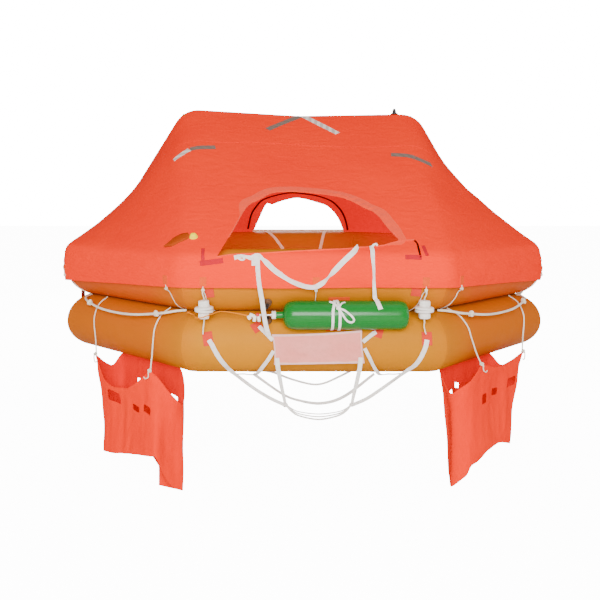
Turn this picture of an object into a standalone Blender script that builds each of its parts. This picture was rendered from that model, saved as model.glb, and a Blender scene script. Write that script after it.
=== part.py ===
# Inflatable life raft with an arched canopy, its ballast pockets hanging.
# Metres. +X is to the right seen from the entrance, -Y is the front, +Z is up.
# The origin is at the middle of the raft, on its light waterline.

import math

import bmesh
import bpy
from mathutils import Matrix, Vector

# Driving dimensions
HALF_BEAM = 1.10          # middle of the raft to the outside of a straight side
HALF_SIDE = 0.50          # half of a straight side, along the outside
TUBE_R = 0.12             # buoyancy tubes
UNDERSIDE = -0.05         # lowest line of the lower tube: the light draft
TOUCH = 0.0003            # gap kept between pieces that touch
TUBE_SIDES = 32
FABRIC = 0.003            # canopy cloth
ARCH_R = 0.070            # arch tube
ARCH_SKIN_R = 0.0745      # outside of the canopy over the arch
PANEL_GAP = 0.0017        # from a canopy panel's edge to the seam with its neighbour
SAG = 0.012               # how far the canopy's slopes hang below a straight line
HEM_R = 0.010             # rolled hems of the two openings
CYLINDER_R = 0.054
POCKET_LONG = 0.454
POCKET_WIDE = 0.150
POCKET_WALL = 0.004
POCKET_SHIFT = 0.080      # the pockets hang nearer the front and the back than the sides
WEBBING = 0.025           # width of the webbing straps
WEBBING_THICK = 0.002
CORD_R = 0.003
GRAB_R = 0.005

LOWER_Z = UNDERSIDE + TUBE_R
UPPER_Z = LOWER_Z + 2 * TUBE_R + TOUCH
SEAM_Z = (LOWER_Z + UPPER_Z) / 2
TUBE_LINE = HALF_BEAM - TUBE_R
ROOT2 = math.sqrt(2)

# Middle line of the arch tube, in the plane Y = 0: the left shoulder stands higher than the right
ARCH_ROUTE = [(-0.985, 0.380), (-0.572, 1.045), (0.0, 1.010), (0.586, 1.020), (0.952, 0.380)]
# Where the canopy leaves the arch's legs, as heights of the middle line
LEAVES_LEFT = 0.650
LEAVES_RIGHT = 0.738

# Canopy skirt: how far outside the upper tube's middle line, how far above it.
# Its shoulder stands off over the tube, then it falls almost straight to its edge.
SKIRT = [(0.118, 0.116), (0.134, 0.088), (0.142, 0.050), (0.143, 0.012), (0.137, -0.018)]
SIDE_DROP = 0.034         # how much lower the skirt's edge hangs at the sides
RIGHT_DRAWN_IN = 0.014    # the canopy's right side is drawn in by this much

# Edges of the entrance and of the rear port, from left to right: across, height
ENTRANCE_EDGE = [(-0.376, 0.424), (-0.345, 0.480), (-0.312, 0.535), (-0.262, 0.596),
                 (-0.160, 0.654), (-0.058, 0.660), (0.040, 0.647), (0.160, 0.632),
                 (0.268, 0.579), (0.304, 0.516), (0.345, 0.464), (0.386, 0.424)]
PORT_EDGE = [(-0.262, 0.436), (-0.240, 0.500), (-0.200, 0.575), (-0.130, 0.625), (0.0, 0.652),
             (0.110, 0.652), (0.235, 0.622), (0.320, 0.560), (0.362, 0.490), (0.372, 0.436)]

# Ballast pockets under the diagonals: name, side in X, side in Y, lowest edge
POCKETS = [
    ("front_left", -1, -1, -0.535),
    ("front_right", 1, -1, -0.520),
    ("rear_left", -1, 1, -0.400),
    ("rear_right", 1, 1, -0.400),
]

# Remove what the file holds, then make the two collections
for old in list(bpy.data.objects):
    bpy.data.objects.remove(old, do_unlink=True)

parts = bpy.data.collections.new("life_raft")
cutters = bpy.data.collections.new("cutters")
bpy.context.scene.collection.children.link(parts)
bpy.context.scene.collection.children.link(cutters)


def material(name, color, roughness, metallic=0.0):
    made = bpy.data.materials.new(name)
    made.use_nodes = True
    shader = made.node_tree.nodes["Principled BSDF"]
    shader.inputs["Base Color"].default_value = (*color, 1.0)
    shader.inputs["Roughness"].default_value = roughness
    shader.inputs["Metallic"].default_value = metallic
    return made


ORANGE = (0.88, 0.13, 0.045)
UPPER_ORANGE = (0.62, 0.20, 0.022)
LOWER_ORANGE = (0.76, 0.37, 0.060)
GREEN = (0.050, 0.35, 0.075)
WHITE = (0.85, 0.83, 0.80)
RED = (0.70, 0.08, 0.05)
PINK = (0.84, 0.50, 0.45)
BLACK = (0.02, 0.02, 0.02)


def add(name, mesh, color, roughness=0.6, metallic=0.0, collection=None):
    thing = bpy.data.objects.new(name, mesh)
    (collection or parts).objects.link(thing)
    mesh.materials.clear()
    mesh.materials.append(material(name, color, roughness, metallic))
    return thing


def as_cutter(thing):
    thing.hide_render = True
    thing.display_type = "WIRE"
    return thing


def octagon(inset):
    """Corners of the raft's plan, moved in from its outside, counter-clockwise from the front."""
    far = HALF_BEAM - inset
    near = HALF_SIDE - inset * (ROOT2 - 1)
    return [(near, -far), (far, -near), (far, near), (near, far),
            (-near, far), (-far, near), (-far, -near), (-near, -far)]


def rounded(points, radius, steps, closed):
    """The same route with an arc at each bend."""
    points = [Vector(p) for p in points]
    count = len(points)
    out = []
    for i, here in enumerate(points):
        if not closed and i in (0, count - 1):
            out.append(here)
            continue
        before = (points[i - 1] - here).normalized()
        after = (points[(i + 1) % count] - here).normalized()
        half_bend = (math.pi - before.angle(after)) / 2
        if half_bend < 0.02:
            out.append(here)
            continue
        back = radius * math.tan(half_bend)
        middle = here + (before + after).normalized() * radius / math.cos(half_bend)
        start = here + before * back - middle
        end = here + after * back - middle
        axis = start.cross(end).normalized()
        turn = start.angle(end)
        for k in range(steps + 1):
            out.append(middle + Matrix.Rotation(turn * k / steps, 3, axis) @ start)
    return out


def smooth_route(points, step):
    """Points at an even step along a smooth curve through the route's own points."""
    route = [Vector(p) for p in points]
    ends = [2 * route[0] - route[1]] + route + [2 * route[-1] - route[-2]]
    fine = [route[0]]
    for a, b, c, d in zip(ends, ends[1:], ends[2:], ends[3:]):
        for k in range(1, 25):
            t = k / 24
            fine.append(0.5 * (2 * b + (c - a) * t + (2 * a - 5 * b + 4 * c - d) * t * t
                               + (3 * b - a - 3 * c + d) * t ** 3))
    lengths = [0.0]
    for p, q in zip(fine, fine[1:]):
        lengths.append(lengths[-1] + (q - p).length)
    count = max(2, round(lengths[-1] / step))
    out = []
    j = 0
    for k in range(count + 1):
        want = lengths[-1] * k / count
        while j < len(fine) - 2 and lengths[j + 1] < want:
            j += 1
        span = max(lengths[j + 1] - lengths[j], 1e-9)
        out.append(fine[j].lerp(fine[j + 1], min(1.0, (want - lengths[j]) / span)))
    return out


def tube(name, points, radius, color, roughness=0.6, closed=False, resolution=2, metallic=0.0):
    """A round tube along a route."""
    data = bpy.data.curves.new(name, "CURVE")
    data.dimensions = "3D"
    data.bevel_depth = radius
    data.bevel_resolution = resolution
    data.use_fill_caps = not closed
    spline = data.splines.new("POLY")
    spline.points.add(len(points) - 1)
    for slot, p in zip(spline.points, points):
        slot.co = (*p, 1.0)
    spline.use_cyclic_u = closed
    return add(name, data, color, roughness, metallic)


def to_mesh(thing):
    """A curve object made into a mesh object with closed ends."""
    graph = bpy.context.evaluated_depsgraph_get()
    mesh = bpy.data.meshes.new_from_object(thing.evaluated_get(graph))
    work = bmesh.new()
    work.from_mesh(mesh)
    bmesh.ops.remove_doubles(work, verts=work.verts, dist=0.00001)
    work.to_mesh(mesh)
    work.free()
    name = thing.name
    place = thing.matrix_world.copy()
    homes = list(thing.users_collection)
    bpy.data.objects.remove(thing, do_unlink=True)
    made = bpy.data.objects.new(name, mesh)
    made.matrix_world = place
    homes[0].objects.link(made)
    return made


def cut(thing, cutter):
    step = thing.modifiers.new("cut_" + cutter.name, "BOOLEAN")
    step.operation = "DIFFERENCE"
    step.solver = "EXACT"
    step.object = cutter
    return step


def plate(name, outline, thickness, place, color, roughness=0.6, collection=None):
    """A flat outline with a thickness, standing or lying where the place matrix puts it."""
    data = bpy.data.curves.new(name, "CURVE")
    data.dimensions = "2D"
    data.fill_mode = "BOTH"
    data.extrude = thickness / 2
    spline = data.splines.new("POLY")
    spline.points.add(len(outline) - 1)
    for slot, p in zip(spline.points, outline):
        slot.co = (p[0], p[1], 0.0, 1.0)
    spline.use_cyclic_u = True
    thing = add(name, data, color, roughness, collection=collection)
    thing.matrix_world = place
    return thing


def turned(name, profile, place, color, roughness=0.5, metallic=0.0, steps=24):
    """A round piece: the profile is radius and height, from its top down."""
    mesh = bpy.data.meshes.new(name)
    mesh.from_pydata([(r, 0.0, h) for r, h in profile],
                     [(i, i + 1) for i in range(len(profile) - 1)], [])
    thing = add(name, mesh, color, roughness, metallic)
    thing.matrix_world = place
    spin = thing.modifiers.new("turn", "SCREW")
    spin.axis = "Z"
    spin.angle = math.tau
    spin.steps = steps
    spin.render_steps = steps
    spin.use_merge_vertices = True
    spin.merge_threshold = 0.00005
    spin.use_smooth_shade = True
    return thing


def grid(name, rows, color, roughness=0.7, thickness=FABRIC, offset=-1.0):
    """A sheet through rows of points, given a thickness."""
    mesh = bpy.data.meshes.new(name)
    work = bmesh.new()
    made = [[work.verts.new(p) for p in row] for row in rows]
    for upper, lower in zip(made, made[1:]):
        for a, b, c, d in zip(upper, upper[1:], lower[1:], lower):
            work.faces.new((a, d, c, b))
    work.to_mesh(mesh)
    work.free()
    thing = add(name, mesh, color, roughness)
    shell = thing.modifiers.new("thickness", "SOLIDIFY")
    shell.thickness = thickness
    shell.offset = offset
    return thing


def strap(name, points, face=None, color=WHITE, width=WEBBING, step=0.03):
    """Flat webbing along a route, its flat side turned like the front tubes' surface."""
    route = smooth_route(points, step)
    left = []
    right = []
    for i, p in enumerate(route):
        level = min(max(p.z, LOWER_Z), UPPER_Z)
        flat_side = Vector(face or (0.0, p.y + TUBE_LINE, p.z - level)).normalized()
        along = (route[min(i + 1, len(route) - 1)] - route[max(i - 1, 0)]).normalized()
        across = along.cross(flat_side).normalized() * width / 2
        left.append(p - across)
        right.append(p + across)
    return grid(name, [left, right], color, 0.8, WEBBING_THICK, 0.0)


def cord(name, points, radius=CORD_R, color=WHITE, spacing=6):
    """A cord with a ring of points every few radii."""
    return tube(name, smooth_route(points, radius * spacing), radius, color, 0.8)


def pointing(at, towards):
    """Place a piece at a point with its own Z along a direction."""
    turn = Vector(towards).to_track_quat("Z", "Y").to_matrix().to_4x4()
    return Matrix.Translation(Vector(at)) @ turn


# Two stacked buoyancy tubes, mitred at the eight corners, and the floor bonded under the lower one
def ring_tube(name, height, radius, color, collection=None):
    mesh = bpy.data.meshes.new(name)
    work = bmesh.new()
    lines = []
    for i in range(TUBE_SIDES):
        angle = math.tau * i / TUBE_SIDES
        corners = octagon(TUBE_R - radius * math.cos(angle))
        lines.append([work.verts.new((x, y, height + radius * math.sin(angle)))
                      for x, y in corners])
    for i in range(TUBE_SIDES):
        low, high = lines[i], lines[(i + 1) % TUBE_SIDES]
        for k in range(8):
            j = (k + 1) % 8
            work.faces.new((low[k], low[j], high[j], high[k]))
    work.to_mesh(mesh)
    work.free()
    return add(name, mesh, color, 0.45, collection=collection)


ring_tube("lower_tube", LOWER_Z, TUBE_R, LOWER_ORANGE)
ring_tube("upper_tube", UPPER_Z, TUBE_R, UPPER_ORANGE)
plate("floor_sheet", octagon(TUBE_R + 0.003), 0.004,
      Matrix.Translation((0, 0, UNDERSIDE - 0.002 - TOUCH)), (0.45, 0.12, 0.03))

# Arch tube, its feet cut to sit on the upper tube
bent_arch = rounded([(x, 0.0, z) for x, z in ARCH_ROUTE], 0.065, 5, False)
arch = to_mesh(tube("arch_tube", bent_arch, ARCH_R, (0.60, 0.14, 0.03), 0.5, resolution=5))
cut(arch, as_cutter(ring_tube("arch_seat", UPPER_Z, TUBE_R + TOUCH, ORANGE, cutters)))

# Canopy: columns of points from the arch down to the skirt
arch_points = bent_arch
arch_lengths = [0.0]
for p, q in zip(arch_points, arch_points[1:]):
    arch_lengths.append(arch_lengths[-1] + (q - p).length)


def arch_at(distance):
    """Middle line of the arch and its outward direction at a distance from the left foot."""
    for i in range(len(arch_points) - 1):
        if arch_lengths[i + 1] >= distance:
            break
    span = arch_lengths[i + 1] - arch_lengths[i]
    spot = arch_points[i].lerp(arch_points[i + 1], (distance - arch_lengths[i]) / span)
    ahead = min(arch_lengths[-1], distance + 0.02)
    behind = max(0.0, distance - 0.02)

    def on_route(d):
        for j in range(len(arch_points) - 1):
            if arch_lengths[j + 1] >= d:
                break
        part = (d - arch_lengths[j]) / (arch_lengths[j + 1] - arch_lengths[j])
        return arch_points[j].lerp(arch_points[j + 1], part)

    along = (on_route(ahead) - on_route(behind)).normalized()
    return spot, Vector((-along.z, 0.0, along.x))


def distance_at_height(height, side):
    """Distance along the arch where a leg's middle line has this height."""
    steps = 400
    for k in range(steps):
        d = arch_lengths[-1] * k / steps
        if side > 0:
            d = arch_lengths[-1] - d
        if arch_at(max(0.001, d))[0].z >= height:
            return d
    return 0.0


LEFT_K = distance_at_height(LEAVES_LEFT, -1)
RIGHT_K = distance_at_height(LEAVES_RIGHT, 1)
SLOPE_ROWS = 6


def tube_side(corner, fraction, out):
    """Point over a straight side of the upper tube, this far outside its middle line."""
    corners = octagon(TUBE_R - out)
    a = Vector((*corners[corner % 8], 0.0))
    b = Vector((*corners[(corner + 1) % 8], 0.0))
    return a.lerp(b, fraction)


def drawn_in(spot):
    """Canopy points right of the front's corner come in, the most at the right side."""
    past = max(0.0, spot.x - HALF_SIDE) / (HALF_BEAM - HALF_SIDE)
    return Vector((spot.x - RIGHT_DRAWN_IN * past, spot.y, spot.z))


def canopy_column(distance, corner, fraction, swing=None):
    """From the arch down one line of the canopy: corner and fraction name the place on the tube."""
    centre, outward = arch_at(distance)
    line_point = tube_side(corner, fraction, 0.0)
    line_point.z = UPPER_Z
    forward = Vector((0.0, -1.0, 0.0))
    away = line_point - centre
    flat = math.hypot(away.dot(forward), away.dot(outward))
    lean = math.atan2(-away.dot(outward), away.dot(forward))
    lean += math.asin(min(1.0, ARCH_SKIN_R / flat)) if flat > ARCH_SKIN_R else 0.0
    lean = min(max(lean, 0.0), 1.3)
    if swing is not None:
        lean = swing

    def over(angle):
        return centre + (outward * math.cos(angle) + forward * math.sin(angle)) * ARCH_SKIN_R

    column = [over(0.0), over(lean / 2), over(lean)] if swing is None else [over(lean)]
    top = column[-1]
    shoulder = drawn_in(tube_side(corner, fraction, SKIRT[0][0]))
    shoulder.z = UPPER_Z + SKIRT[0][1]
    for k in range(1, SLOPE_ROWS):
        t = k / SLOPE_ROWS
        spot = top.lerp(shoulder, t)
        spot.z -= 4 * SAG * t * (1 - t)
        column.append(spot)
    column.append(shoulder)
    for i, (out, up) in enumerate(SKIRT[1:]):
        spot = drawn_in(tube_side(corner, fraction, out))
        to_side = min(1.0, max(0.0, (HALF_BEAM - abs(spot.y)) / (HALF_BEAM - HALF_SIDE)))
        spot.z = UPPER_Z + up - SIDE_DROP * to_side * i / 3
        column.append(spot)
    return column


def pull(here, towards, distance):
    """Edge points moved a little towards the next row or column."""
    return [a + (b - a).normalized() * distance for a, b in zip(here, towards)]


def lerp(a, b, t):
    return a + (b - a) * t


# Front half of the canopy, then the same columns turned to the back by a change of sign.
# Columns lie closer at the arch's two bends, which sit over the corners of the tube.
BEND_LEFT = [arch_lengths[i] for i in range(1, 7)]
BEND_RIGHT = [arch_lengths[i] for i in range(len(arch_points) - 7, len(arch_points) - 1)]
STATIONS = []
for k in range(5):
    STATIONS.append((lerp(LEFT_K, BEND_LEFT[0], k / 5), 6, 0.84 * k / 5))
for distance, corner, fraction in zip(BEND_LEFT, (6, 6, 6, 7, 7, 7),
                                      (0.84, 0.90, 0.96, 0.01, 0.04, 0.07)):
    STATIONS.append((distance, corner, fraction))
for k in range(1, 12):
    STATIONS.append((lerp(BEND_LEFT[-1], BEND_RIGHT[0], k / 12), 7, lerp(0.07, 0.93, k / 12)))
for distance, corner, fraction in zip(BEND_RIGHT, (7, 7, 7, 0, 0, 0),
                                      (0.93, 0.96, 0.99, 0.04, 0.10, 0.16)):
    STATIONS.append((distance, corner, fraction))
for k in range(1, 6):
    STATIONS.append((lerp(BEND_RIGHT[-1], RIGHT_K, k / 5), 0, lerp(0.16, 1.0, k / 5)))
front_columns = [canopy_column(*station) for station in STATIONS]


def canopy_panel(name, columns):
    """Rows run from the arch to the skirt's edge; the panel stops short of its neighbours."""
    columns = [list(c) for c in columns]
    first = pull(columns[0], columns[1], PANEL_GAP)
    last = pull(columns[-1], columns[-2], PANEL_GAP)
    columns[0], columns[-1] = first, last
    for c in columns:
        c[0] = c[0] + (c[1] - c[0]).normalized() * 0.0012
    rows = [list(row) for row in zip(*columns)]
    return grid(name, rows, ORANGE, 0.75)


front = canopy_panel("canopy_front", front_columns)
back_columns = [[Vector((p.x, -p.y, p.z)) for p in c] for c in reversed(front_columns)]
back = canopy_panel("canopy_back", back_columns)


def side_panel(name, distance, first_corner, mirror):
    """The low panel between an arch leg and a straight side."""
    centre, outward = arch_at(distance)
    line_point = tube_side(first_corner, 0.0 if mirror < 0 else 1.0, 0.0)
    away = Vector((line_point.x, line_point.y, UPPER_Z)) - centre
    forward_part = abs(away.y)
    widest = math.atan2(-away.dot(outward), forward_part)
    widest += math.asin(ARCH_SKIN_R / math.hypot(forward_part, away.dot(outward)))
    columns = []
    for k in range(9):
        t = k / 8
        swing = lerp(-widest, widest, t) * mirror
        columns.append(canopy_column(distance, first_corner, t, swing))
    columns[0] = pull(columns[0], columns[1], PANEL_GAP)
    columns[-1] = pull(columns[-1], columns[-2], PANEL_GAP)
    return grid(name, [list(row) for row in zip(*columns)], ORANGE, 0.75)


side_panel("canopy_left", LEFT_K, 5, 1)
side_panel("canopy_right", RIGHT_K, 1, -1)


# Openings through the canopy, with a rolled hem inside each edge
def opening_outline(edge, grow, step):
    """The edge's smooth line, moved outwards from the opening by a distance."""
    line = smooth_route([(x, 0.0, z) for x, z in edge], step)
    out = []
    for i, p in enumerate(line):
        along = (line[min(i + 1, len(line) - 1)] - line[max(i - 1, 0)]).normalized()
        out.append(p + Vector((-along.z, 0.0, along.x)) * grow)
    return out


def slope_depth(height):
    """How far the front slope's cloth lies in front of the arch at this height."""
    foot_y, foot_z = TUBE_LINE + SKIRT[0][0], UPPER_Z + SKIRT[0][1]
    top_y, top_z = 0.040, 1.070
    t = (height - foot_z) / (top_z - foot_z)
    sag = 4 * SAG * max(0.0, t) * max(0.0, 1 - t)
    return foot_y + (top_y - foot_y) * (t + sag / (top_z - foot_z))


def opening_cutter(name, edge, sign):
    outline = opening_outline(edge, 2 * HEM_R + 0.0008, 0.03)
    outline[0].z = outline[-1].z = edge[0][1]
    place = Matrix.Translation((0.0, sign * 0.85, 0.0)) @ Matrix.Rotation(math.pi / 2, 4, "X")
    shape = plate(name, [(p.x, p.z) for p in outline], 0.62, place, ORANGE, collection=cutters)
    return as_cutter(to_mesh(shape))


cut(front, opening_cutter("entrance_cut", ENTRANCE_EDGE, -1))
cut(back, opening_cutter("port_cut", PORT_EDGE, 1))

for name, edge, sign in [("entrance_hem", ENTRANCE_EDGE, -1), ("port_hem", PORT_EDGE, 1)]:
    line = [p for p in opening_outline(edge, HEM_R, 0.035) if p.z > 0.440]
    tube(name, [(p.x, sign * slope_depth(p.z), p.z) for p in line], HEM_R, ORANGE, 0.75)

# Gas cylinder lying in the groove between the tubes, with its head and two inlets
CYLINDER_Y = -TUBE_LINE - math.sqrt((TUBE_R + CYLINDER_R + 0.0026) ** 2 - TUBE_R ** 2)
along_x = Matrix.Translation((0.0, CYLINDER_Y, SEAM_Z)) @ Matrix.Rotation(math.pi / 2, 4, "Y")
turned("gas_cylinder", [(0.0, 0.350), (0.030, 0.349), (0.046, 0.338), (0.054, 0.310),
                        (0.054, -0.070), (0.049, -0.096), (0.036, -0.112), (0.014, -0.118),
                        (0.013, -0.144), (0.0, -0.144)], along_x, GREEN, 0.35, steps=28)
turned("cylinder_valve", [(0.0, -0.1443), (0.016, -0.1443), (0.011, -0.158), (0.007, -0.162),
                          (0.007, -0.212), (0.010, -0.213), (0.010, -0.232), (0.0, -0.232)],
       along_x, WHITE, 0.4, 0.3, 16)
turned("cylinder_tie", [(CYLINDER_R + TOUCH, 0.060), (CYLINDER_R + TOUCH, 0.096),
                        (CYLINDER_R + 0.0023, 0.096), (CYLINDER_R + 0.0023, 0.060),
                        (CYLINDER_R + TOUCH, 0.060)], along_x, WHITE, 0.8, steps=28)
for name, height, tilt, slope in [("upper", UPPER_Z, -1, 39), ("lower", LOWER_Z, 1, 48)]:
    angle = math.radians(slope)
    normal = Vector((0.0, -math.cos(angle), tilt * math.sin(angle)))
    on_tube = Vector((-0.176, -TUBE_LINE, height)) + normal * (TUBE_R + TOUCH)
    turned("inlet_valve_" + name, [(0.0, 0.014), (0.011, 0.014), (0.014, 0.010), (0.017, 0.003),
                                   (0.017, 0.0), (0.0, 0.0)], pointing(on_tube, normal),
           (0.09, 0.045, 0.03), 0.5, steps=16)
    start = on_tube + normal * 0.0147
    end = Vector((-0.192, CYLINDER_Y, SEAM_Z - tilt * 0.0078))
    before_end = end + Vector((0, 0, -tilt * 0.012))
    cord("inflation_hose_" + name, [start, start + normal * 0.007, start + normal * 0.014, before_end, end],
         0.005, BLACK, 1.6)

# White tie toggles, a pair at each side of the cylinder, in front of the seam
for name, x in [("left", -0.414), ("right", 0.414)]:
    for level, sign in [("upper", 1), ("lower", -1)]:
        stack = [(0.0, 0.0345), (0.0185, 0.0345), (0.0205, 0.032), (0.0205, 0.017),
                 (0.034, 0.015), (0.036, 0.008), (0.035, 0.0002), (0.0, 0.0002)]
        flip = Matrix.Rotation(0.0 if sign > 0 else math.pi, 4, "X")
        place = Matrix.Translation((x, -1.0998, SEAM_Z + 0.0195)) @ flip
        turned(f"toggle_{name}_{level}", stack, place, WHITE, 0.5, steps=20)

# Webbing patches on the tubes
PATCHES = [
    # name, x, degrees up from the lower tube's front, half of its height
    ("ladder_patch_left", -0.215, 36, 0.018),
    ("ladder_patch_right", 0.240, 25, 0.016),
    ("strap_patch_left", -0.400, 14, 0.024),
    ("strap_patch_right", 0.425, 14, 0.024),
]
for name, x, angle, tall in PATCHES:
    up = math.radians(angle)
    normal = Vector((0.0, -math.cos(up), math.sin(up)))
    at = Vector((x, -TUBE_LINE, LOWER_Z)) + normal * (TUBE_R + 0.001 + TOUCH)
    place = pointing(at, normal)
    size = [(-0.020, -tall), (0.020, -tall), (0.020, tall), (-0.020, tall)]
    plate(name, size, 0.002, place, RED, 0.7)

# Painter anchor: a flat webbing plate across the seam at the left
anchor_x = -(TUBE_LINE + math.sqrt(TUBE_R ** 2 - (TUBE_R - 0.030) ** 2) + 0.002 + TOUCH)
plate("painter_anchor", [(-0.030, -0.030), (0.030, -0.030), (0.030, 0.030), (-0.030, 0.030)],
      0.004, pointing((anchor_x, -0.36, SEAM_Z), (-1, 0, 0)), RED, 0.7)

# Lamps: one low on the front slope at the left, a small one on the ridge
SLOPE_OUT = Vector((0.0, -0.52, 0.854)).normalized()
turned("canopy_lamp", [(0.0, 0.024), (0.007, 0.023), (0.012, 0.018), (0.0135, 0.010),
                       (0.0135, 0.004), (0.019, 0.003), (0.019, 0.0), (0.0, 0.0)],
       pointing(Vector((-0.464, -slope_depth(0.482), 0.482)) + SLOPE_OUT * 0.0048, SLOPE_OUT),
       (0.90, 0.70, 0.05), 0.35, steps=16)
lamp_spot, lamp_up = arch_at(BEND_RIGHT[0] - 0.03)
turned("ridge_lamp", [(0.0, 0.032), (0.006, 0.030), (0.012, 0.010), (0.020, 0.004),
                      (0.020, 0.0), (0.0, 0.0)],
       pointing(lamp_spot + lamp_up * (ARCH_SKIN_R + 0.0002), lamp_up), BLACK, 0.4, steps=16)


# Ballast pockets: open fabric boxes hung under the diagonals
def pocket(name, side_x, side_y, lowest):
    along = Vector((side_x, -side_y, 0.0)).normalized()
    outward = Vector((side_x, side_y, 0.0)).normalized()
    middle = outward * (HALF_BEAM + HALF_SIDE - TUBE_R * ROOT2) / ROOT2
    middle -= along * POCKET_SHIFT
    top = UNDERSIDE - TOUCH
    deep = top - lowest
    box = bpy.data.meshes.new(name)
    work = bmesh.new()
    bmesh.ops.create_cube(work, size=1.0)
    bmesh.ops.scale(work, vec=(POCKET_LONG, POCKET_WIDE, deep), verts=work.verts)
    work.to_mesh(box)
    work.free()
    thing = add(name, box, ORANGE, 0.8)
    turn = Matrix((along, outward, Vector((0, 0, 1)))).transposed().to_4x4()
    centre = middle + outward * (POCKET_WIDE / 2) + Vector((0, 0, (top + lowest) / 2))
    thing.matrix_world = Matrix.Translation(centre) @ turn
    hollow = bpy.data.meshes.new(name + "_hollow")
    work = bmesh.new()
    bmesh.ops.create_cube(work, size=1.0)
    bmesh.ops.scale(work, vec=(POCKET_LONG - 2 * POCKET_WALL, POCKET_WIDE - 2 * POCKET_WALL, deep),
                    verts=work.verts)
    work.to_mesh(hollow)
    work.free()
    inner = as_cutter(add(name + "_hollow", hollow, ORANGE, collection=cutters))
    inner.matrix_world = Matrix.Translation(centre + Vector((0, 0, POCKET_WALL))) @ turn
    cut(thing, inner)


for name, side_x, side_y, lowest in POCKETS:
    pocket("pocket_" + name, side_x, side_y, lowest)


# Pocket cords, from the seam to the outer corners of each mouth
def pocket_cord(name, side_x, side_y, end):
    outward = Vector((side_x, side_y, 0.0)).normalized()
    along = Vector((side_x, -side_y, 0.0)).normalized()
    middle = outward * (HALF_BEAM + HALF_SIDE - TUBE_R * ROOT2) / ROOT2 - along * POCKET_SHIFT
    place = middle + along * end * (POCKET_LONG / 2 - 0.008)
    seam = place + outward * 0.031 + Vector((0, 0, SEAM_Z))
    bulge = place + outward * (TUBE_R + 0.010) + Vector((0, 0, LOWER_Z + 0.020))
    low = place + outward * (TUBE_R + 0.016) + Vector((0, 0, LOWER_Z - 0.050))
    foot = place + outward * (POCKET_WIDE - 0.004) + Vector((0, 0, UNDERSIDE + 0.004))
    cord(name, [seam, place + outward * 0.085 + Vector((0, 0, SEAM_Z - 0.014)), bulge, low, foot])


for name, side_x, side_y, lowest in POCKETS:
    pocket_cord("pocket_cord_" + name + "_near", side_x, side_y, -1.0)
    pocket_cord("pocket_cord_" + name + "_far", side_x, side_y, 1.0)


# Grab lines in the seam, one swag per side: start and end as corner and fraction
GRAB_LINES = [
    ("grab_line_front_left", 6, 0.05, 0.95),
    ("grab_line_front_right", 0, 0.05, 0.95),
    ("grab_line_right", 1, 0.08, 0.92),
    ("grab_line_rear_right", 2, 0.05, 0.95),
    ("grab_line_rear", 3, 0.08, 0.92),
    ("grab_line_rear_left", 4, 0.05, 0.95),
    ("grab_line_left", 5, 0.08, 0.80),
]
for name, corner, start, end in GRAB_LINES:
    points = []
    for t, out, drop in [(0.0, 0.0355, 0.0), (0.05, 0.070, -0.002), (0.13, 0.105, -0.012),
                         (0.32, 0.128, -0.030), (0.5, 0.131, -0.036), (0.68, 0.128, -0.030),
                         (0.87, 0.105, -0.012), (0.95, 0.070, -0.002), (1.0, 0.0355, 0.0)]:
        spot = tube_side(corner, lerp(start, end, t), out)
        points.append((spot.x, spot.y, SEAM_Z + drop))
    cord(name, points, GRAB_R, WHITE)

# Webbing at the entrance
strap("entrance_strap_sill", [(-0.300, -1.1139, 0.4030), (-0.235, -1.1195, 0.3950),
                              (-0.185, -1.1270, 0.3800), (-0.115, -1.1290, 0.3360),
                              (-0.060, -1.1290, 0.3070), (-0.010, -1.1290, 0.2970),
                              (0.045, -1.1290, 0.3260), (0.085, -1.1275, 0.3700),
                              (0.122, -1.1175, 0.4000)], (0, -1, 0.3))
strap("entrance_strap_left", [(-0.212, -1.1246, 0.3640), (-0.207, -1.1250, 0.3100),
                              (-0.196, -1.1250, 0.2450), (-0.186, -1.1230, 0.1750),
                              (-0.176, -1.1150, 0.1330)], (0, -1, 0), width=0.018)
strap("entrance_strap_right", [(0.218, -1.1170, 0.4000), (0.220, -1.1245, 0.3600),
                               (0.221, -1.1245, 0.3150), (0.223, -1.1200, 0.2800),
                               (0.226, -1.1120, 0.2540)], (0, -1, 0.2), width=0.018)
strap("hull_strap", [(-0.230, -0.985, UNDERSIDE - 0.0100), (-0.118, -0.985, -0.138),
                     (-0.050, -0.985, -0.165), (0.038, -0.985, -0.175), (0.128, -0.985, -0.148),
                     (0.245, -0.985, UNDERSIDE - 0.0100)], (0, -1, 0))

# Boarding ladder: the step hangs by its top corners and swings out about them, with its rung
STEP_Y = -HALF_BEAM - 0.009
SEWN_Y = STEP_Y - 0.002 - WEBBING_THICK / 2 - TOUCH
STEP_OUTLINE = [(-0.150, 0.004), (0.188, 0.010), (0.178, 0.132), (-0.158, 0.116)]
hinge = bpy.data.objects.new("ladder_hinge", None)
parts.objects.link(hinge)
hinge.location = (-0.158, STEP_Y, 0.119)
hinge.rotation_euler = (0.0, -math.atan2(0.016, 0.336), 0.0)
bpy.context.view_layer.update()


def on_ladder(thing):
    place = thing.matrix_world.copy()
    thing.parent = hinge
    thing.matrix_parent_inverse = hinge.matrix_world.inverted()
    thing.matrix_basis = place


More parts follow.
